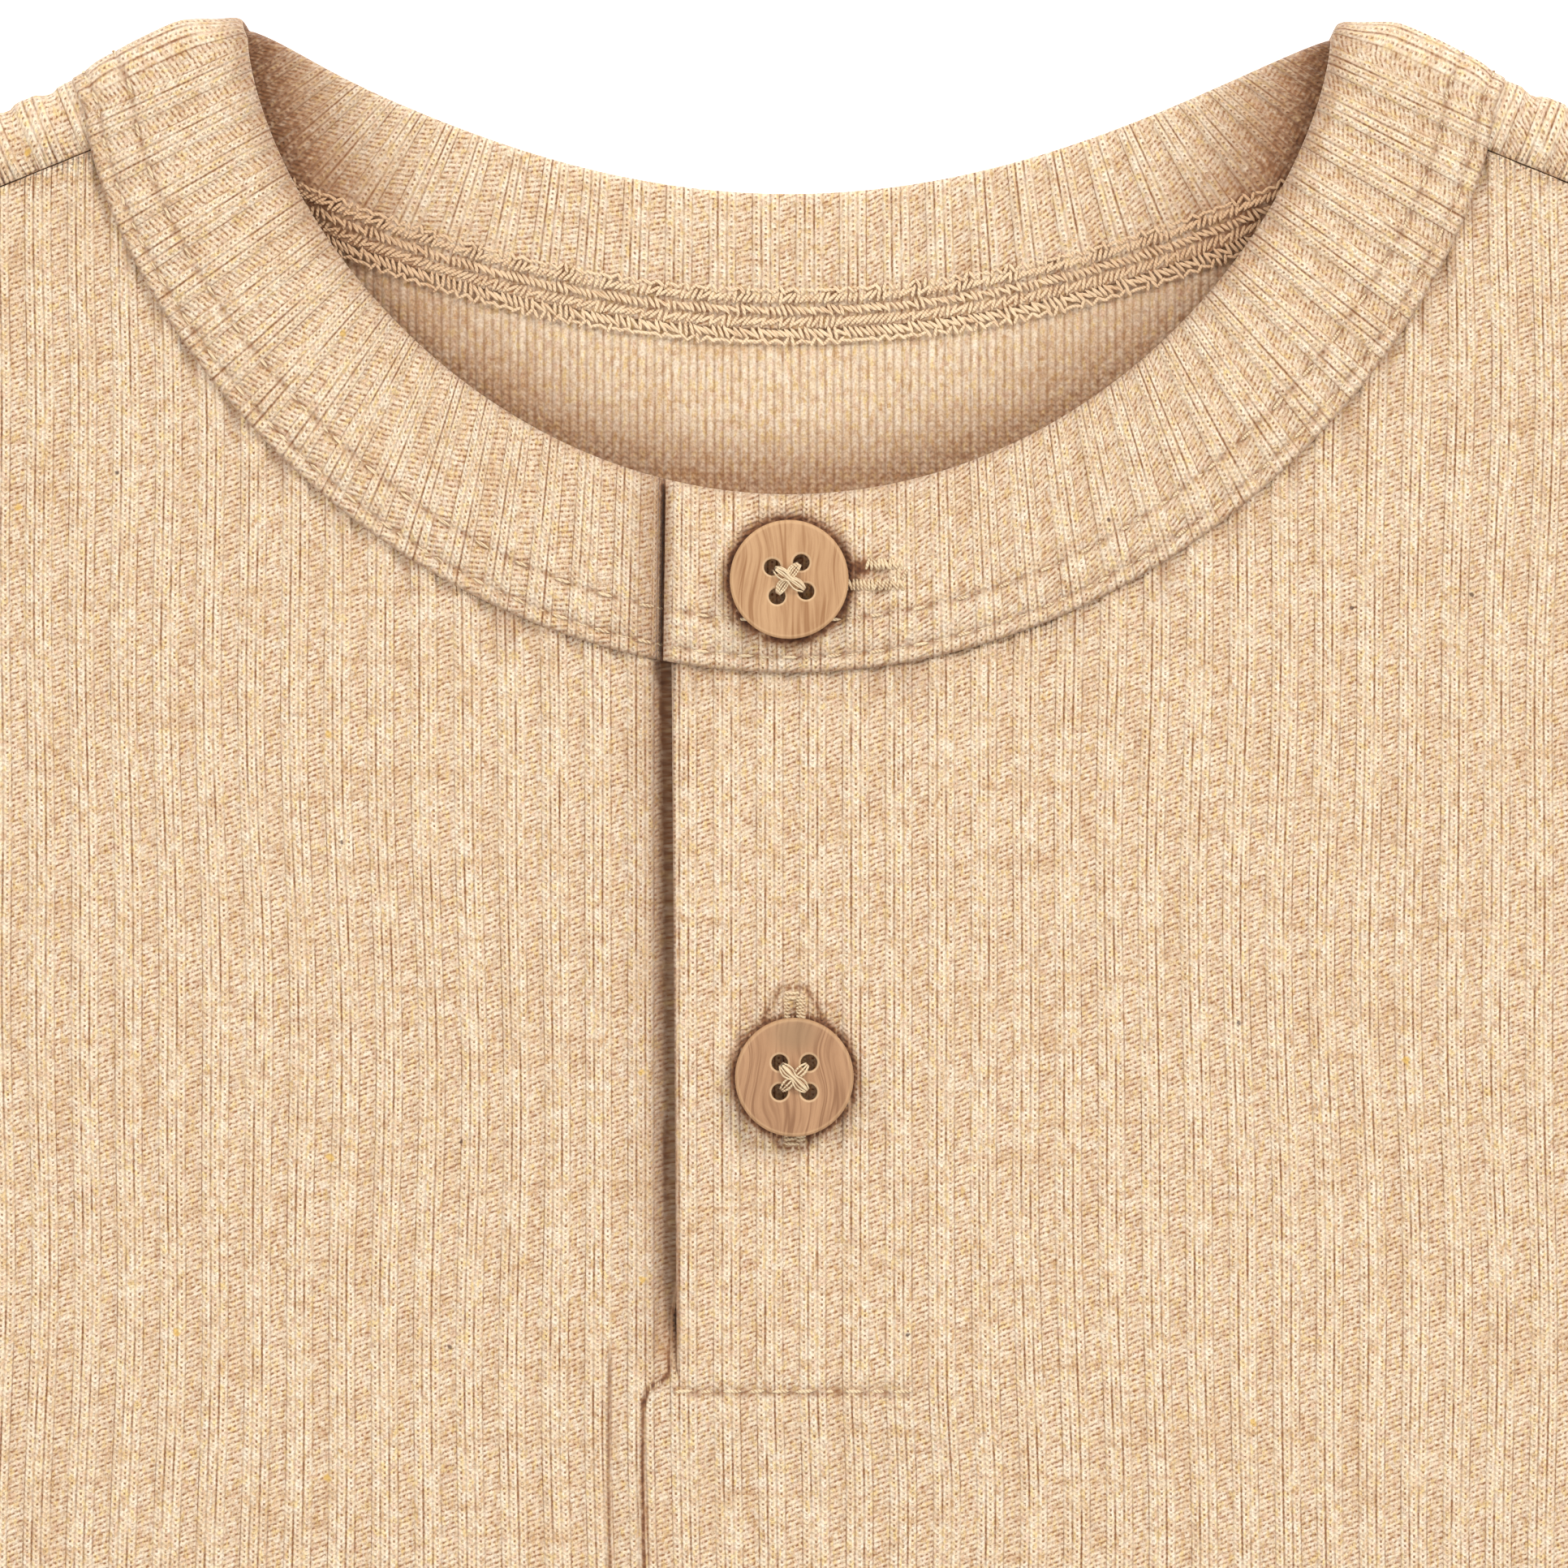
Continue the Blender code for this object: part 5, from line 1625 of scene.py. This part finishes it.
class StitchRows:
    """Stitches laid along seams by Geometry Nodes."""

    GROUP = "lay_stitches"
    OUT = "out"
    INPUTS = (
        ("Pitch", "Float"), ("Size", "Vector"), ("Lean", "Float"), ("Swing", "Float"),
        ("Stray", "Float"), ("Seed", "Int"), ("Thread", "Material"),
    )  # fmt: skip
    BALL_FACES = 36

    def __init__(self, thread: Thread) -> None:
        """Build the node tree.

        Args:
            thread: what the stitches are made of.
        """
        self.material = thread.material()
        self.tree = bpy.data.node_groups.new(self.GROUP, "GeometryNodeTree")
        self.keys: dict[str, str] = {}
        sockets = self.tree.interface
        for in_out in ("INPUT", "OUTPUT"):
            sockets.new_socket("Geometry", in_out=in_out, socket_type="NodeSocketGeometry")
        for name, kind in self.INPUTS:
            made = sockets.new_socket(name, in_out="INPUT", socket_type="NodeSocket" + kind)
            self.keys[name] = made.identifier
        self.wire()

    def add(self, kind: str, settings: dict, values: Sequence | dict, output: int | str = 0) -> Socket:
        """The wanted output of a new node, set up as add_node says."""
        return add_node(self.tree, kind, settings, values).outputs[output]

    def maths(self, operation: str, *values: Socket | float) -> Socket:
        """The result of a Math node."""
        return self.add("ShaderNodeMath", {"operation": operation}, values)

    def turned(self) -> Socket:
        """Each stitch's turn on the cloth, from the group's Lean, Swing and Stray."""
        given = self.given
        index = self.add("GeometryNodeInputIndex", {}, {})
        sign = self.maths("MULTIPLY_ADD", self.maths("MODULO", index, 2.0), 2.0, -1.0)
        swing = self.maths("MULTIPLY_ADD", sign, given["Swing"], given["Lean"])
        limits = {2: self.maths("MULTIPLY", given["Stray"], -1.0), 3: given["Stray"], "Seed": given["Seed"]}
        stray = self.add("FunctionNodeRandomValue", {"data_type": "FLOAT"}, limits, 1)
        angle = self.maths("ADD", swing, stray)
        return self.add("FunctionNodeAxisAngleToRotation", {}, {"Axis": (0, 0, 1), "Angle": angle})

    def wire(self) -> None:
        """Lay the tree out: points along the lines, a stitch turned to lie on each."""
        self.given = given = self.tree.nodes.new("NodeGroupInput").outputs
        curve = self.add("GeometryNodeMeshToCurve", {}, {"Mesh": given["Geometry"]})
        spacing = {"Curve": curve, "Length": given["Pitch"]}
        spots = self.add("GeometryNodeCurveToPoints", {"mode": "LENGTH"}, spacing, "Points")
        named = {"data_type": "FLOAT_VECTOR"}
        out = self.add("GeometryNodeInputNamedAttribute", named, {"Name": self.OUT}, "Attribute")
        align = "FunctionNodeAlignRotationToVector"
        along = self.add(align, {"axis": "X"}, {"Vector": spots.node.outputs["Tangent"]})
        up = self.add(align, {"axis": "Z", "pivot_axis": "X"}, {"Rotation": along, "Vector": out})
        local = {"rotation_space": "LOCAL"}
        both = self.add("FunctionNodeRotateRotation", local, {"Rotation": up, "Rotate By": self.turned()})
        ball = self.add("GeometryNodeMeshUVSphere", {}, {"Segments": 6, "Rings": 6, "Radius": 0.5})
        shaped = self.add("GeometryNodeTransform", {}, {"Geometry": ball, "Scale": given["Size"]})
        placed = {"Points": spots, "Instance": shaped, "Rotation": both}
        laid = self.add("GeometryNodeInstanceOnPoints", {}, placed)
        real = self.add("GeometryNodeRealizeInstances", {}, {"Geometry": laid})
        dressed = self.add("GeometryNodeSetMaterial", {}, {"Geometry": real, "Material": given["Thread"]})
        add_node(self.tree, "NodeGroupOutput", {}, {"Geometry": dressed})

    def lay(self, name: str, seams: Sequence[Seam], style: StitchStyle) -> bpy.types.Object:
        """Lay stitches along some seams.

        Args:
            name: the object's name.
            seams: the lines.
            style: the stitches' shape.

        Returns:
            One plain mesh with every stitch.
        """
        points, normals, edges = [], [], []
        for seam in seams:
            start = len(points)
            points += seam.points
            normals += seam.normals
            edges += [(k, k + 1) for k in range(start, len(points) - 1)]
        guide = bpy.data.meshes.new(name + "_guide")
        guide.from_pydata(in_frame(points), edges, [])
        layer = guide.attributes.new(self.OUT, "FLOAT_VECTOR", "POINT")
        layer.data.foreach_set("vector", np.array(normals, float).ravel())
        obj = in_scene(name, guide)
        modifier = obj.modifiers.new(self.GROUP, "NODES")
        modifier.node_group = self.tree
        values = {
            "Pitch": style.pitch * MM,
            "Size": [style.length * MM, style.width * MM, style.height * MM],
            "Lean": math.radians(style.lean),
            "Swing": math.radians(style.swing),
            "Stray": math.radians(style.stray),
            "Seed": style.seed,
            "Thread": self.material,
        }
        for key, value in values.items():
            modifier[self.keys[key]] = value
        bpy.context.view_layer.update()
        result = obj.evaluated_get(bpy.context.evaluated_depsgraph_get())
        mesh = bpy.data.meshes.new_from_object(result)
        obj.modifiers.clear()
        obj.data = mesh
        mesh.name = name
        mesh.shade_smooth()
        log.info("%s: %d stitches", name, len(mesh.polygons) // self.BALL_FACES)
        return obj


def level_seam(points: np.ndarray, lift: float) -> Seam:
    """A line that lies on cloth which faces up."""
    return Seam([(x, y, z + lift) for x, y, z in points], [(0.0, 0.0, 1.0)] * len(points))


# Fittings


def lathe(
    name: str, profile: Sequence[Point], segments: int, centre: Spot, material: bpy.types.Material
) -> bpy.types.Object:
    """Turn a profile of (radius, z) points, from pole to pole, round an upright axis."""
    turns = [math.tau * k / segments for k in range(segments)]
    points = [(0.0, 0.0, profile[0][1])]
    for radius, z in profile[1:-1]:
        points += [(radius * math.cos(turn), radius * math.sin(turn), z) for turn in turns]
    points.append((0.0, 0.0, profile[-1][1]))
    last = len(points) - 1
    top = last - segments
    faces = bands(1, len(profile) - 2, segments)
    for k in range(segments):
        after = (k + 1) % segments
        faces += [(0, 1 + after, 1 + k), (last, top + k, top + after)]
    return mesh_object(name, np.array(points) + centre, faces, [material], sharp=50)


@dataclass
class WoodButton:
    """A flat wooden button with four holes, and the thread through them."""

    spot: ButtonSpot
    wood: Wood
    height: float = 2.2
    segments: int = 96
    hole_segments: int = 28
    strands: int = 6
    strand_radius: float = 0.085

    def __post_init__(self) -> None:
        """Work out how the button is turned."""
        self.turned = Matrix.Rotation(math.radians(self.spot.turn), 3, "Z")
        self.origin = Vector((self.spot.x, self.spot.y, self.spot.z))

    @staticmethod
    def loop(bm: bmesh.types.BMesh, z: float, radius: float, count: int, centre: Point) -> list:
        """A ring of points."""
        turns = [math.tau * (k + 0.5) / count for k in range(count)]
        return [
            bm.verts.new((centre[0] + radius * math.cos(t), centre[1] + radius * math.sin(t), z))
            for t in turns
        ]

    def build(self) -> bpy.types.Object:
        """Make the button: its rim, its holes with flared lips, and its two faces between."""
        bm = bmesh.new()
        top = self.height
        rim = ((0, 0.35), (0.1, 0.12), (0.35, 0))
        rim += ((top - 0.42, 0), (top - 0.16, 0.07), (top - 0.04, 0.2), (top, 0.38))
        lip = ((0, 0.0), (top - 0.3, 0.0), (top - 0.12, 0.04), (top, 0.16))
        walls = [[self.loop(bm, z, BUTTON_RADIUS - inset, self.segments, (0, 0)) for z, inset in rim]]
        for x in (-HOLE_SPREAD, HOLE_SPREAD):
            for y in (-HOLE_SPREAD, HOLE_SPREAD):
                count = self.hole_segments
                walls.append([self.loop(bm, z, HOLE_RADIUS + inset, count, (x, y)) for z, inset in lip])
        for wall in walls:
            for lower, upper in zip(wall, wall[1:]):
                for k in range(len(lower)):
                    after = (k + 1) % len(lower)
                    bm.faces.new((lower[k], lower[after], upper[after], upper[k]))
        for end in (0, -1):
            rings = [wall[end] for wall in walls]
            edges = [bm.edges.get((ring[k], ring[k - 1])) for ring in rings for k in range(len(ring))]
            bmesh.ops.triangle_fill(bm, edges=edges, use_beauty=True)
        bmesh.ops.rotate(bm, verts=bm.verts, matrix=self.turned)
        bmesh.ops.recalc_face_normals(bm, faces=bm.faces)
        bm.verts.index_update()
        points = np.array([v.co for v in bm.verts]) + np.array(self.origin)
        faces = [[v.index for v in face.verts] for face in bm.faces]
        bm.free()
        return mesh_object(self.wood.name, points, faces, [self.wood.material()], sharp=28)

    def thread(self, thread: Thread) -> bpy.types.Object:
        """Make the strands that cross from hole to hole and go down into them."""
        rng = np.random.default_rng(int(self.wood.seed))
        points, faces = [], []
        for across in (1, -1):
            for strand in range(self.strands):
                aside = (strand - (self.strands - 1) / 2) * 0.13 + rng.uniform(-0.16, 0.16)
                rise = 0.36 + rng.uniform(-0.16, 0.16) + (0.18 if across < 0 else 0.0)
                line = [self.strand_point(t, across, aside, rise) for t in np.linspace(-1, 1, 29)]
                tube(points, faces, line, self.strand_radius, 8)
        return mesh_object("thread_" + self.spot.node, np.array(points), faces, [thread.material()])

    def strand_point(self, t: float, across: int, aside: float, rise: float) -> Vector:
        """A point of a strand.

        Args:
            t: where it is along the strand, from -1 to 1.
            across: 1 or -1, for the two ways from hole to hole.
            aside: how far the strand lies beside the middle.
            rise: how far it arches over the button.

        Returns:
            The point.
        """
        way = min(abs(t) / 0.8, 1.0)
        reach = math.copysign(min(abs(t) * 1.1, 0.86), t) * HOLE_SPREAD * math.sqrt(2)
        along = Vector((1, across)).normalized()
        beside = Vector((-along.y, along.x)) * (aside * (0.6 + 0.8 * math.sin(math.pi * way)))
        z = self.height + rise * (1 - way**2) + 0.1 - 1.9 * float(smooth((abs(t) - 0.72) / 0.28))
        return self.turned @ Vector((*(along * reach + beside), z)) + self.origin


def tube(points: list, faces: list, line: Sequence[Vector], radius: float, sides: int) -> None:
    """Add a closed tube along a line to some points and faces."""
    start = len(points)
    for k, spot in enumerate(line):
        along = (line[min(k + 1, len(line) - 1)] - line[max(k - 1, 0)]).normalized()
        beside = along.cross(Vector((0.31, -0.2, 1.0))).normalized()
        above = beside.cross(along)
        for j in range(sides):
            turn = math.tau * j / sides
            points.append(tuple(spot + (beside * math.cos(turn) + above * math.sin(turn)) * radius))
    faces += bands(start, len(line), sides)
    end = start + (len(line) - 1) * sides
    faces.append(tuple(start + j for j in reversed(range(sides))))
    faces.append(tuple(end + j for j in range(sides)))


# The cap's profile, as shares of its radius and height
CAP_PROFILE = (
    (0, 0), (0.9, 0), (0.97, 0.1), (1, 0.28), (0.99, 0.45), (0.955, 0.58), (0.91, 0.63), (0.87, 0.6),
    (0.84, 0.62), (0.78, 0.72), (0.66, 0.84), (0.5, 0.92), (0.3, 0.98), (0.12, 1), (0, 1),
)  # fmt: skip


@dataclass(frozen=True)
class SnapCap:
    """The cap of a snap fastener: a low dome in a rolled rim."""

    node: str
    x: float
    y: float
    radius: float = 4.4
    height: float = 1.4

    def build(self, metal: Metal) -> bpy.types.Object:
        """Make the cap on the front's highest ribs below it."""
        turns = np.linspace(0, math.tau, 16, endpoint=False)
        ring_x = np.append(self.x, self.x + self.radius * np.cos(turns))
        ring_y = np.append(self.y, self.y + self.radius * np.sin(turns))
        z = float(front_level(ring_x, ring_y).max()) + CLOTH / 2 + RIB_RISE + SEAM
        if self.y - self.radius < HEM_Y + HEM_DEPTH:
            z += HEM_RISE
        sized = [(radius * self.radius, rise * self.height) for radius, rise in CAP_PROFILE]
        return lathe("cap_" + self.node, sized, 48, (self.x, self.y, z), metal.material())


SNAPS = (
    SnapCap("snap_crotch", 0.0, -397.0),
    SnapCap("snap_left_1", 15.2, -417.5),
    SnapCap("snap_left_2", 20.5, -441.5),
    SnapCap("snap_right_1", -15.2, -417.5),
    SnapCap("snap_right_2", -20.5, -441.5),
)


# The studio

WHITE = (1.0, 1.0, 1.0, 1.0)


@dataclass(frozen=True)
class Lamp:
    """A square light, in metres and watts."""

    name: str
    spot: Spot
    size: float
    power: float
    colour: Spot = (1.0, 0.985, 0.96)

    def hang(self, aim: Spot) -> None:
        """Put it up, facing a point."""
        data = bpy.data.lights.new(self.name, "AREA")
        data.shape = "SQUARE"
        data.size = self.size
        data.energy = self.power
        data.color = self.colour
        obj = in_scene(self.name, data)
        obj.location = self.spot
        obj.rotation_euler = (Vector(aim) - Vector(self.spot)).to_track_quat("-Z", "Y").to_euler()


LAMPS = (
    Lamp("key", (0.75, 0.95, 1.05), 0.5, 11.0),
    Lamp("side", (-0.8, 0.7, 1.1), 0.7, 7.0),
    Lamp("fill", (0.1, -0.9, 1.3), 1.2, 5.0, (1.0, 0.985, 0.965)),
)


@dataclass
class Studio:
    """A white table under soft lights, with the camera straight above the neckline."""

    floor_half: float = 3.0
    floor_glow: float = 0.35
    sky: float = 0.62
    aim: Spot = (0.0, 0.12, 0.0)
    camera_spot: Spot = (-0.5, ORIGIN_Y - 74.3, 1484.0)
    lens: float = 350.0

    def floor(self) -> None:
        """Lay the table's top, just under the romper."""
        half = self.floor_half
        mesh = bpy.data.meshes.new("floor")
        corners = [(-half, -half, 0), (half, -half, 0), (half, half, 0), (-half, half, 0)]
        mesh.from_pydata(corners, [], [(0, 1, 2, 3)])
        matt = {"roughness": 0.9, "specular_ior_level": 0.0}
        bench = Bench(
            "floor", base_color=WHITE, emission_color=WHITE, emission_strength=self.floor_glow, **matt
        )
        mesh.materials.append(bench.material)
        obj = in_scene("floor", mesh)

    def camera(self) -> None:
        """Set the camera up."""
        data = bpy.data.cameras.new("camera")
        data.sensor_width = 36.0
        data.lens = self.lens
        data.clip_end = 20.0
        obj = in_scene("camera", data)
        obj.location = Vector(self.camera_spot) * MM
        bpy.context.scene.camera = obj

    def build(self) -> None:
        """Set the whole studio up."""
        scene = bpy.context.scene
        world = scene.world or bpy.data.worlds.new("studio")
        scene.world = world
        world.use_nodes = True
        sky = world.node_tree.nodes["Background"]
        sky.inputs["Color"].default_value = WHITE
        sky.inputs["Strength"].default_value = self.sky
        scene.view_settings.view_transform = "Standard"
        self.floor()
        for lamp in LAMPS:
            lamp.hang(self.aim)
        self.camera()


# The whole

LOOP_ROWS = (2.75, 1.6, 0.45, -0.7)  # how far from the neckband's seam the looper's rows run
LOOP_EDGES = (-1.5, 3.45)
LOOP_REACH = (0.25, 0.76)  # where along the band they start and end
HEM_ROWS = (HEM_DEPTH - 0.8, HEM_DEPTH - 3.8)  # how far from the hem's edge its rows run


@dataclass
class Romper:
    """The romper, piece by piece."""

    knit: RibKnit = RibKnit()
    thread: Thread = Thread()

    def place(self, obj: bpy.types.Object, slot: str, *nodes: str) -> bpy.types.Object:
        """Tie a finished piece to the part.

        Args:
            obj: the piece.
            slot: the name of the material that it shows; it is not used.
            nodes: the solids that it stands for.

        Returns:
            The piece.
        """
        if nodes:
            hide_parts(*nodes)
        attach(obj, BODY)
        log.info("%s: %d faces", obj.name, len(obj.data.polygons))
        return obj

    def cloth(self, wall: KnitWall | Neckband, node: str) -> bpy.types.Object:
        """Make a piece of cloth, and work out its cut, which is not kept."""
        obj = self.place(wall.build(), "rib_knit", node)
        flat, area = wall.cut()
        return obj

    def sew(self, rows: StitchRows, name: str, seams: Sequence[Seam], style: StitchStyle) -> None:
        """Sew along some seams."""
        self.place(rows.lay(name, seams, style), "rib_knit")

    def neck(self, rows: StitchRows) -> None:
        """Make the neckband and the stitches that hold it."""
        band = Neckband(self.knit)
        self.cloth(band, "neckband")
        lines = [band.row(away, False, 0.004, 0.996, 0.02) for away, _ in band.grooves]
        self.sew(rows, "neck_stitches", lines, NECK_STITCH)
        loops = StitchRows(LOOPER)
        for k, away in enumerate(LOOP_ROWS):
            lean = 54.0 if k % 2 == 0 else -54.0
            slanted = StitchStyle(1.6, 0.38, 0.34, 0.56, lean=lean, stray=27.0, seed=5 + k)
            self.sew(loops, f"neck_loops_{k + 1}", [band.row(away, True, *LOOP_REACH, 0.12)], slanted)
        edges = [band.row(away, True, *LOOP_REACH, 0.1) for away in LOOP_EDGES]
        self.sew(loops, "neck_loop_edges", edges, LOOP_EDGE)

    def sewing(self, rows: StitchRows, sleeves: Sequence[KnitWall]) -> None:
        """Sew the hems, the placket's foot and the buttonholes."""
        hems = []
        for away in HEM_ROWS:
            for left in (-1, 1):
                x = np.linspace(INSEAM_HEM_X + 1.0, SIDE_HEM[0] - 1.2, 180) * left
                hems.append(level_seam(front_turned(rows_of(x, HEM_Y + away), 1.0), 0.03))
            for wall in sleeves:
                across = np.linspace(2.0, SLEEVE_HEM_WIDTH - 2.5, 130)
                hems.append(level_seam(wall.place(rows_of(across, SLEEVE_LENGTH - away), 1.0), 0.03))
        self.sew(rows, "hem_stitches", hems, HEM_STITCH)
        x = np.linspace(-10.3, PLACKET_RIGHT_X, 60)
        foot = level_seam(front_turned(rows_of(x, PLACKET_ROW_Y), 1.0), 0.0)
        self.sew(rows, "placket_stitches", [foot], PLACKET_STITCH)
        self.lower_buttonhole(rows)
        self.upper_buttonhole(rows)

    def lower_buttonhole(self, rows: StitchRows) -> None:
        """Sew the placket's buttonhole: close rows on both sides of its slit, and bars at its ends."""
        hole_x, low, high = 0.4, -109.2, -94.6
        y = np.linspace(low + 0.4, high - 0.4, 60)
        lines = [front_turned(rows_of(hole_x + away, y), 1.0) for away in (-0.75, 0.75)]
        self.sew(rows, "buttonhole_lower", [level_seam(line, 0.02) for line in lines], SATIN_STITCH)
        x = np.array((hole_x, hole_x + 0.2))
        lines = [front_turned(rows_of(x, y), 1.0) for y in (low, low + 0.5, high - 0.5, high)]
        self.sew(rows, "buttonhole_bars", [level_seam(line, 0.1) for line in lines], BAR_STITCH)

    def upper_buttonhole(self, rows: StitchRows) -> None:
        """Sew the neckband's buttonhole: gathered rows on both sides of its slit, and an end."""
        z = PLACKET_LEVEL + BAND_LIFT + BAND_CLOTH / 2 + BAND_CROWN
        seams = []
        for y, first in ((-53.0, 7.6), (-55.0, -2.0)):
            x = np.linspace(first, 10.9, 50)
            seams.append(level_seam(rows_of(x, y, z + 0.45 + 0.5 * bell(x - 7.3, 1.6)), 0.0))
        seams.append(level_seam(rows_of(np.linspace(10.6, 11.2, 4), -54.0, z), 0.5))
        self.sew(rows, "buttonhole_upper", seams, GATHERED_STITCH)

    def fittings(self) -> None:
        """Make the buttons, their thread, and the snaps."""
        woods = (
            Wood(BUTTON_TOP, srgb(202, 160, 118), srgb(158, 112, 72), patch_share=0.0, seed=4.0),
            Wood(BUTTON_LOWER, srgb(190, 146, 108), srgb(144, 102, 70), patch_share=0.6, seed=23.0),
        )
        for wood in woods:
            button = WoodButton(wood.spot, wood)
            self.place(button.build(), "wood", wood.spot.node)
            self.place(button.thread(self.thread), "rib_knit")
        metal = Metal("cap_metal", srgb(206, 186, 150), srgb(160, 138, 104))
        for snap in SNAPS:
            self.place(snap.build(metal), "snap_metal", snap.node)

    def build(self) -> None:
        """Make every piece."""
        self.cloth(front_panel(self.knit), "front_panel")
        self.cloth(back_panel(self.knit), "back_panel")
        sleeves = []
        for side in Side:
            sleeves.append(sleeve(side, self.knit))
            self.cloth(sleeves[-1], f"sleeve_{side.name.lower()}")
        self.cloth(button_stand(self.knit), "placket_under")
        rows = StitchRows(self.thread)
        self.neck(rows)
        self.sewing(rows, sleeves)
        self.fittings()


def main() -> None:
    """Dress the part and set the studio up."""
    logging.basicConfig(level=logging.INFO, format="%(name)s: %(message)s")
    Romper().build()
    Studio().build()


if __name__ == "__main__":
    main()
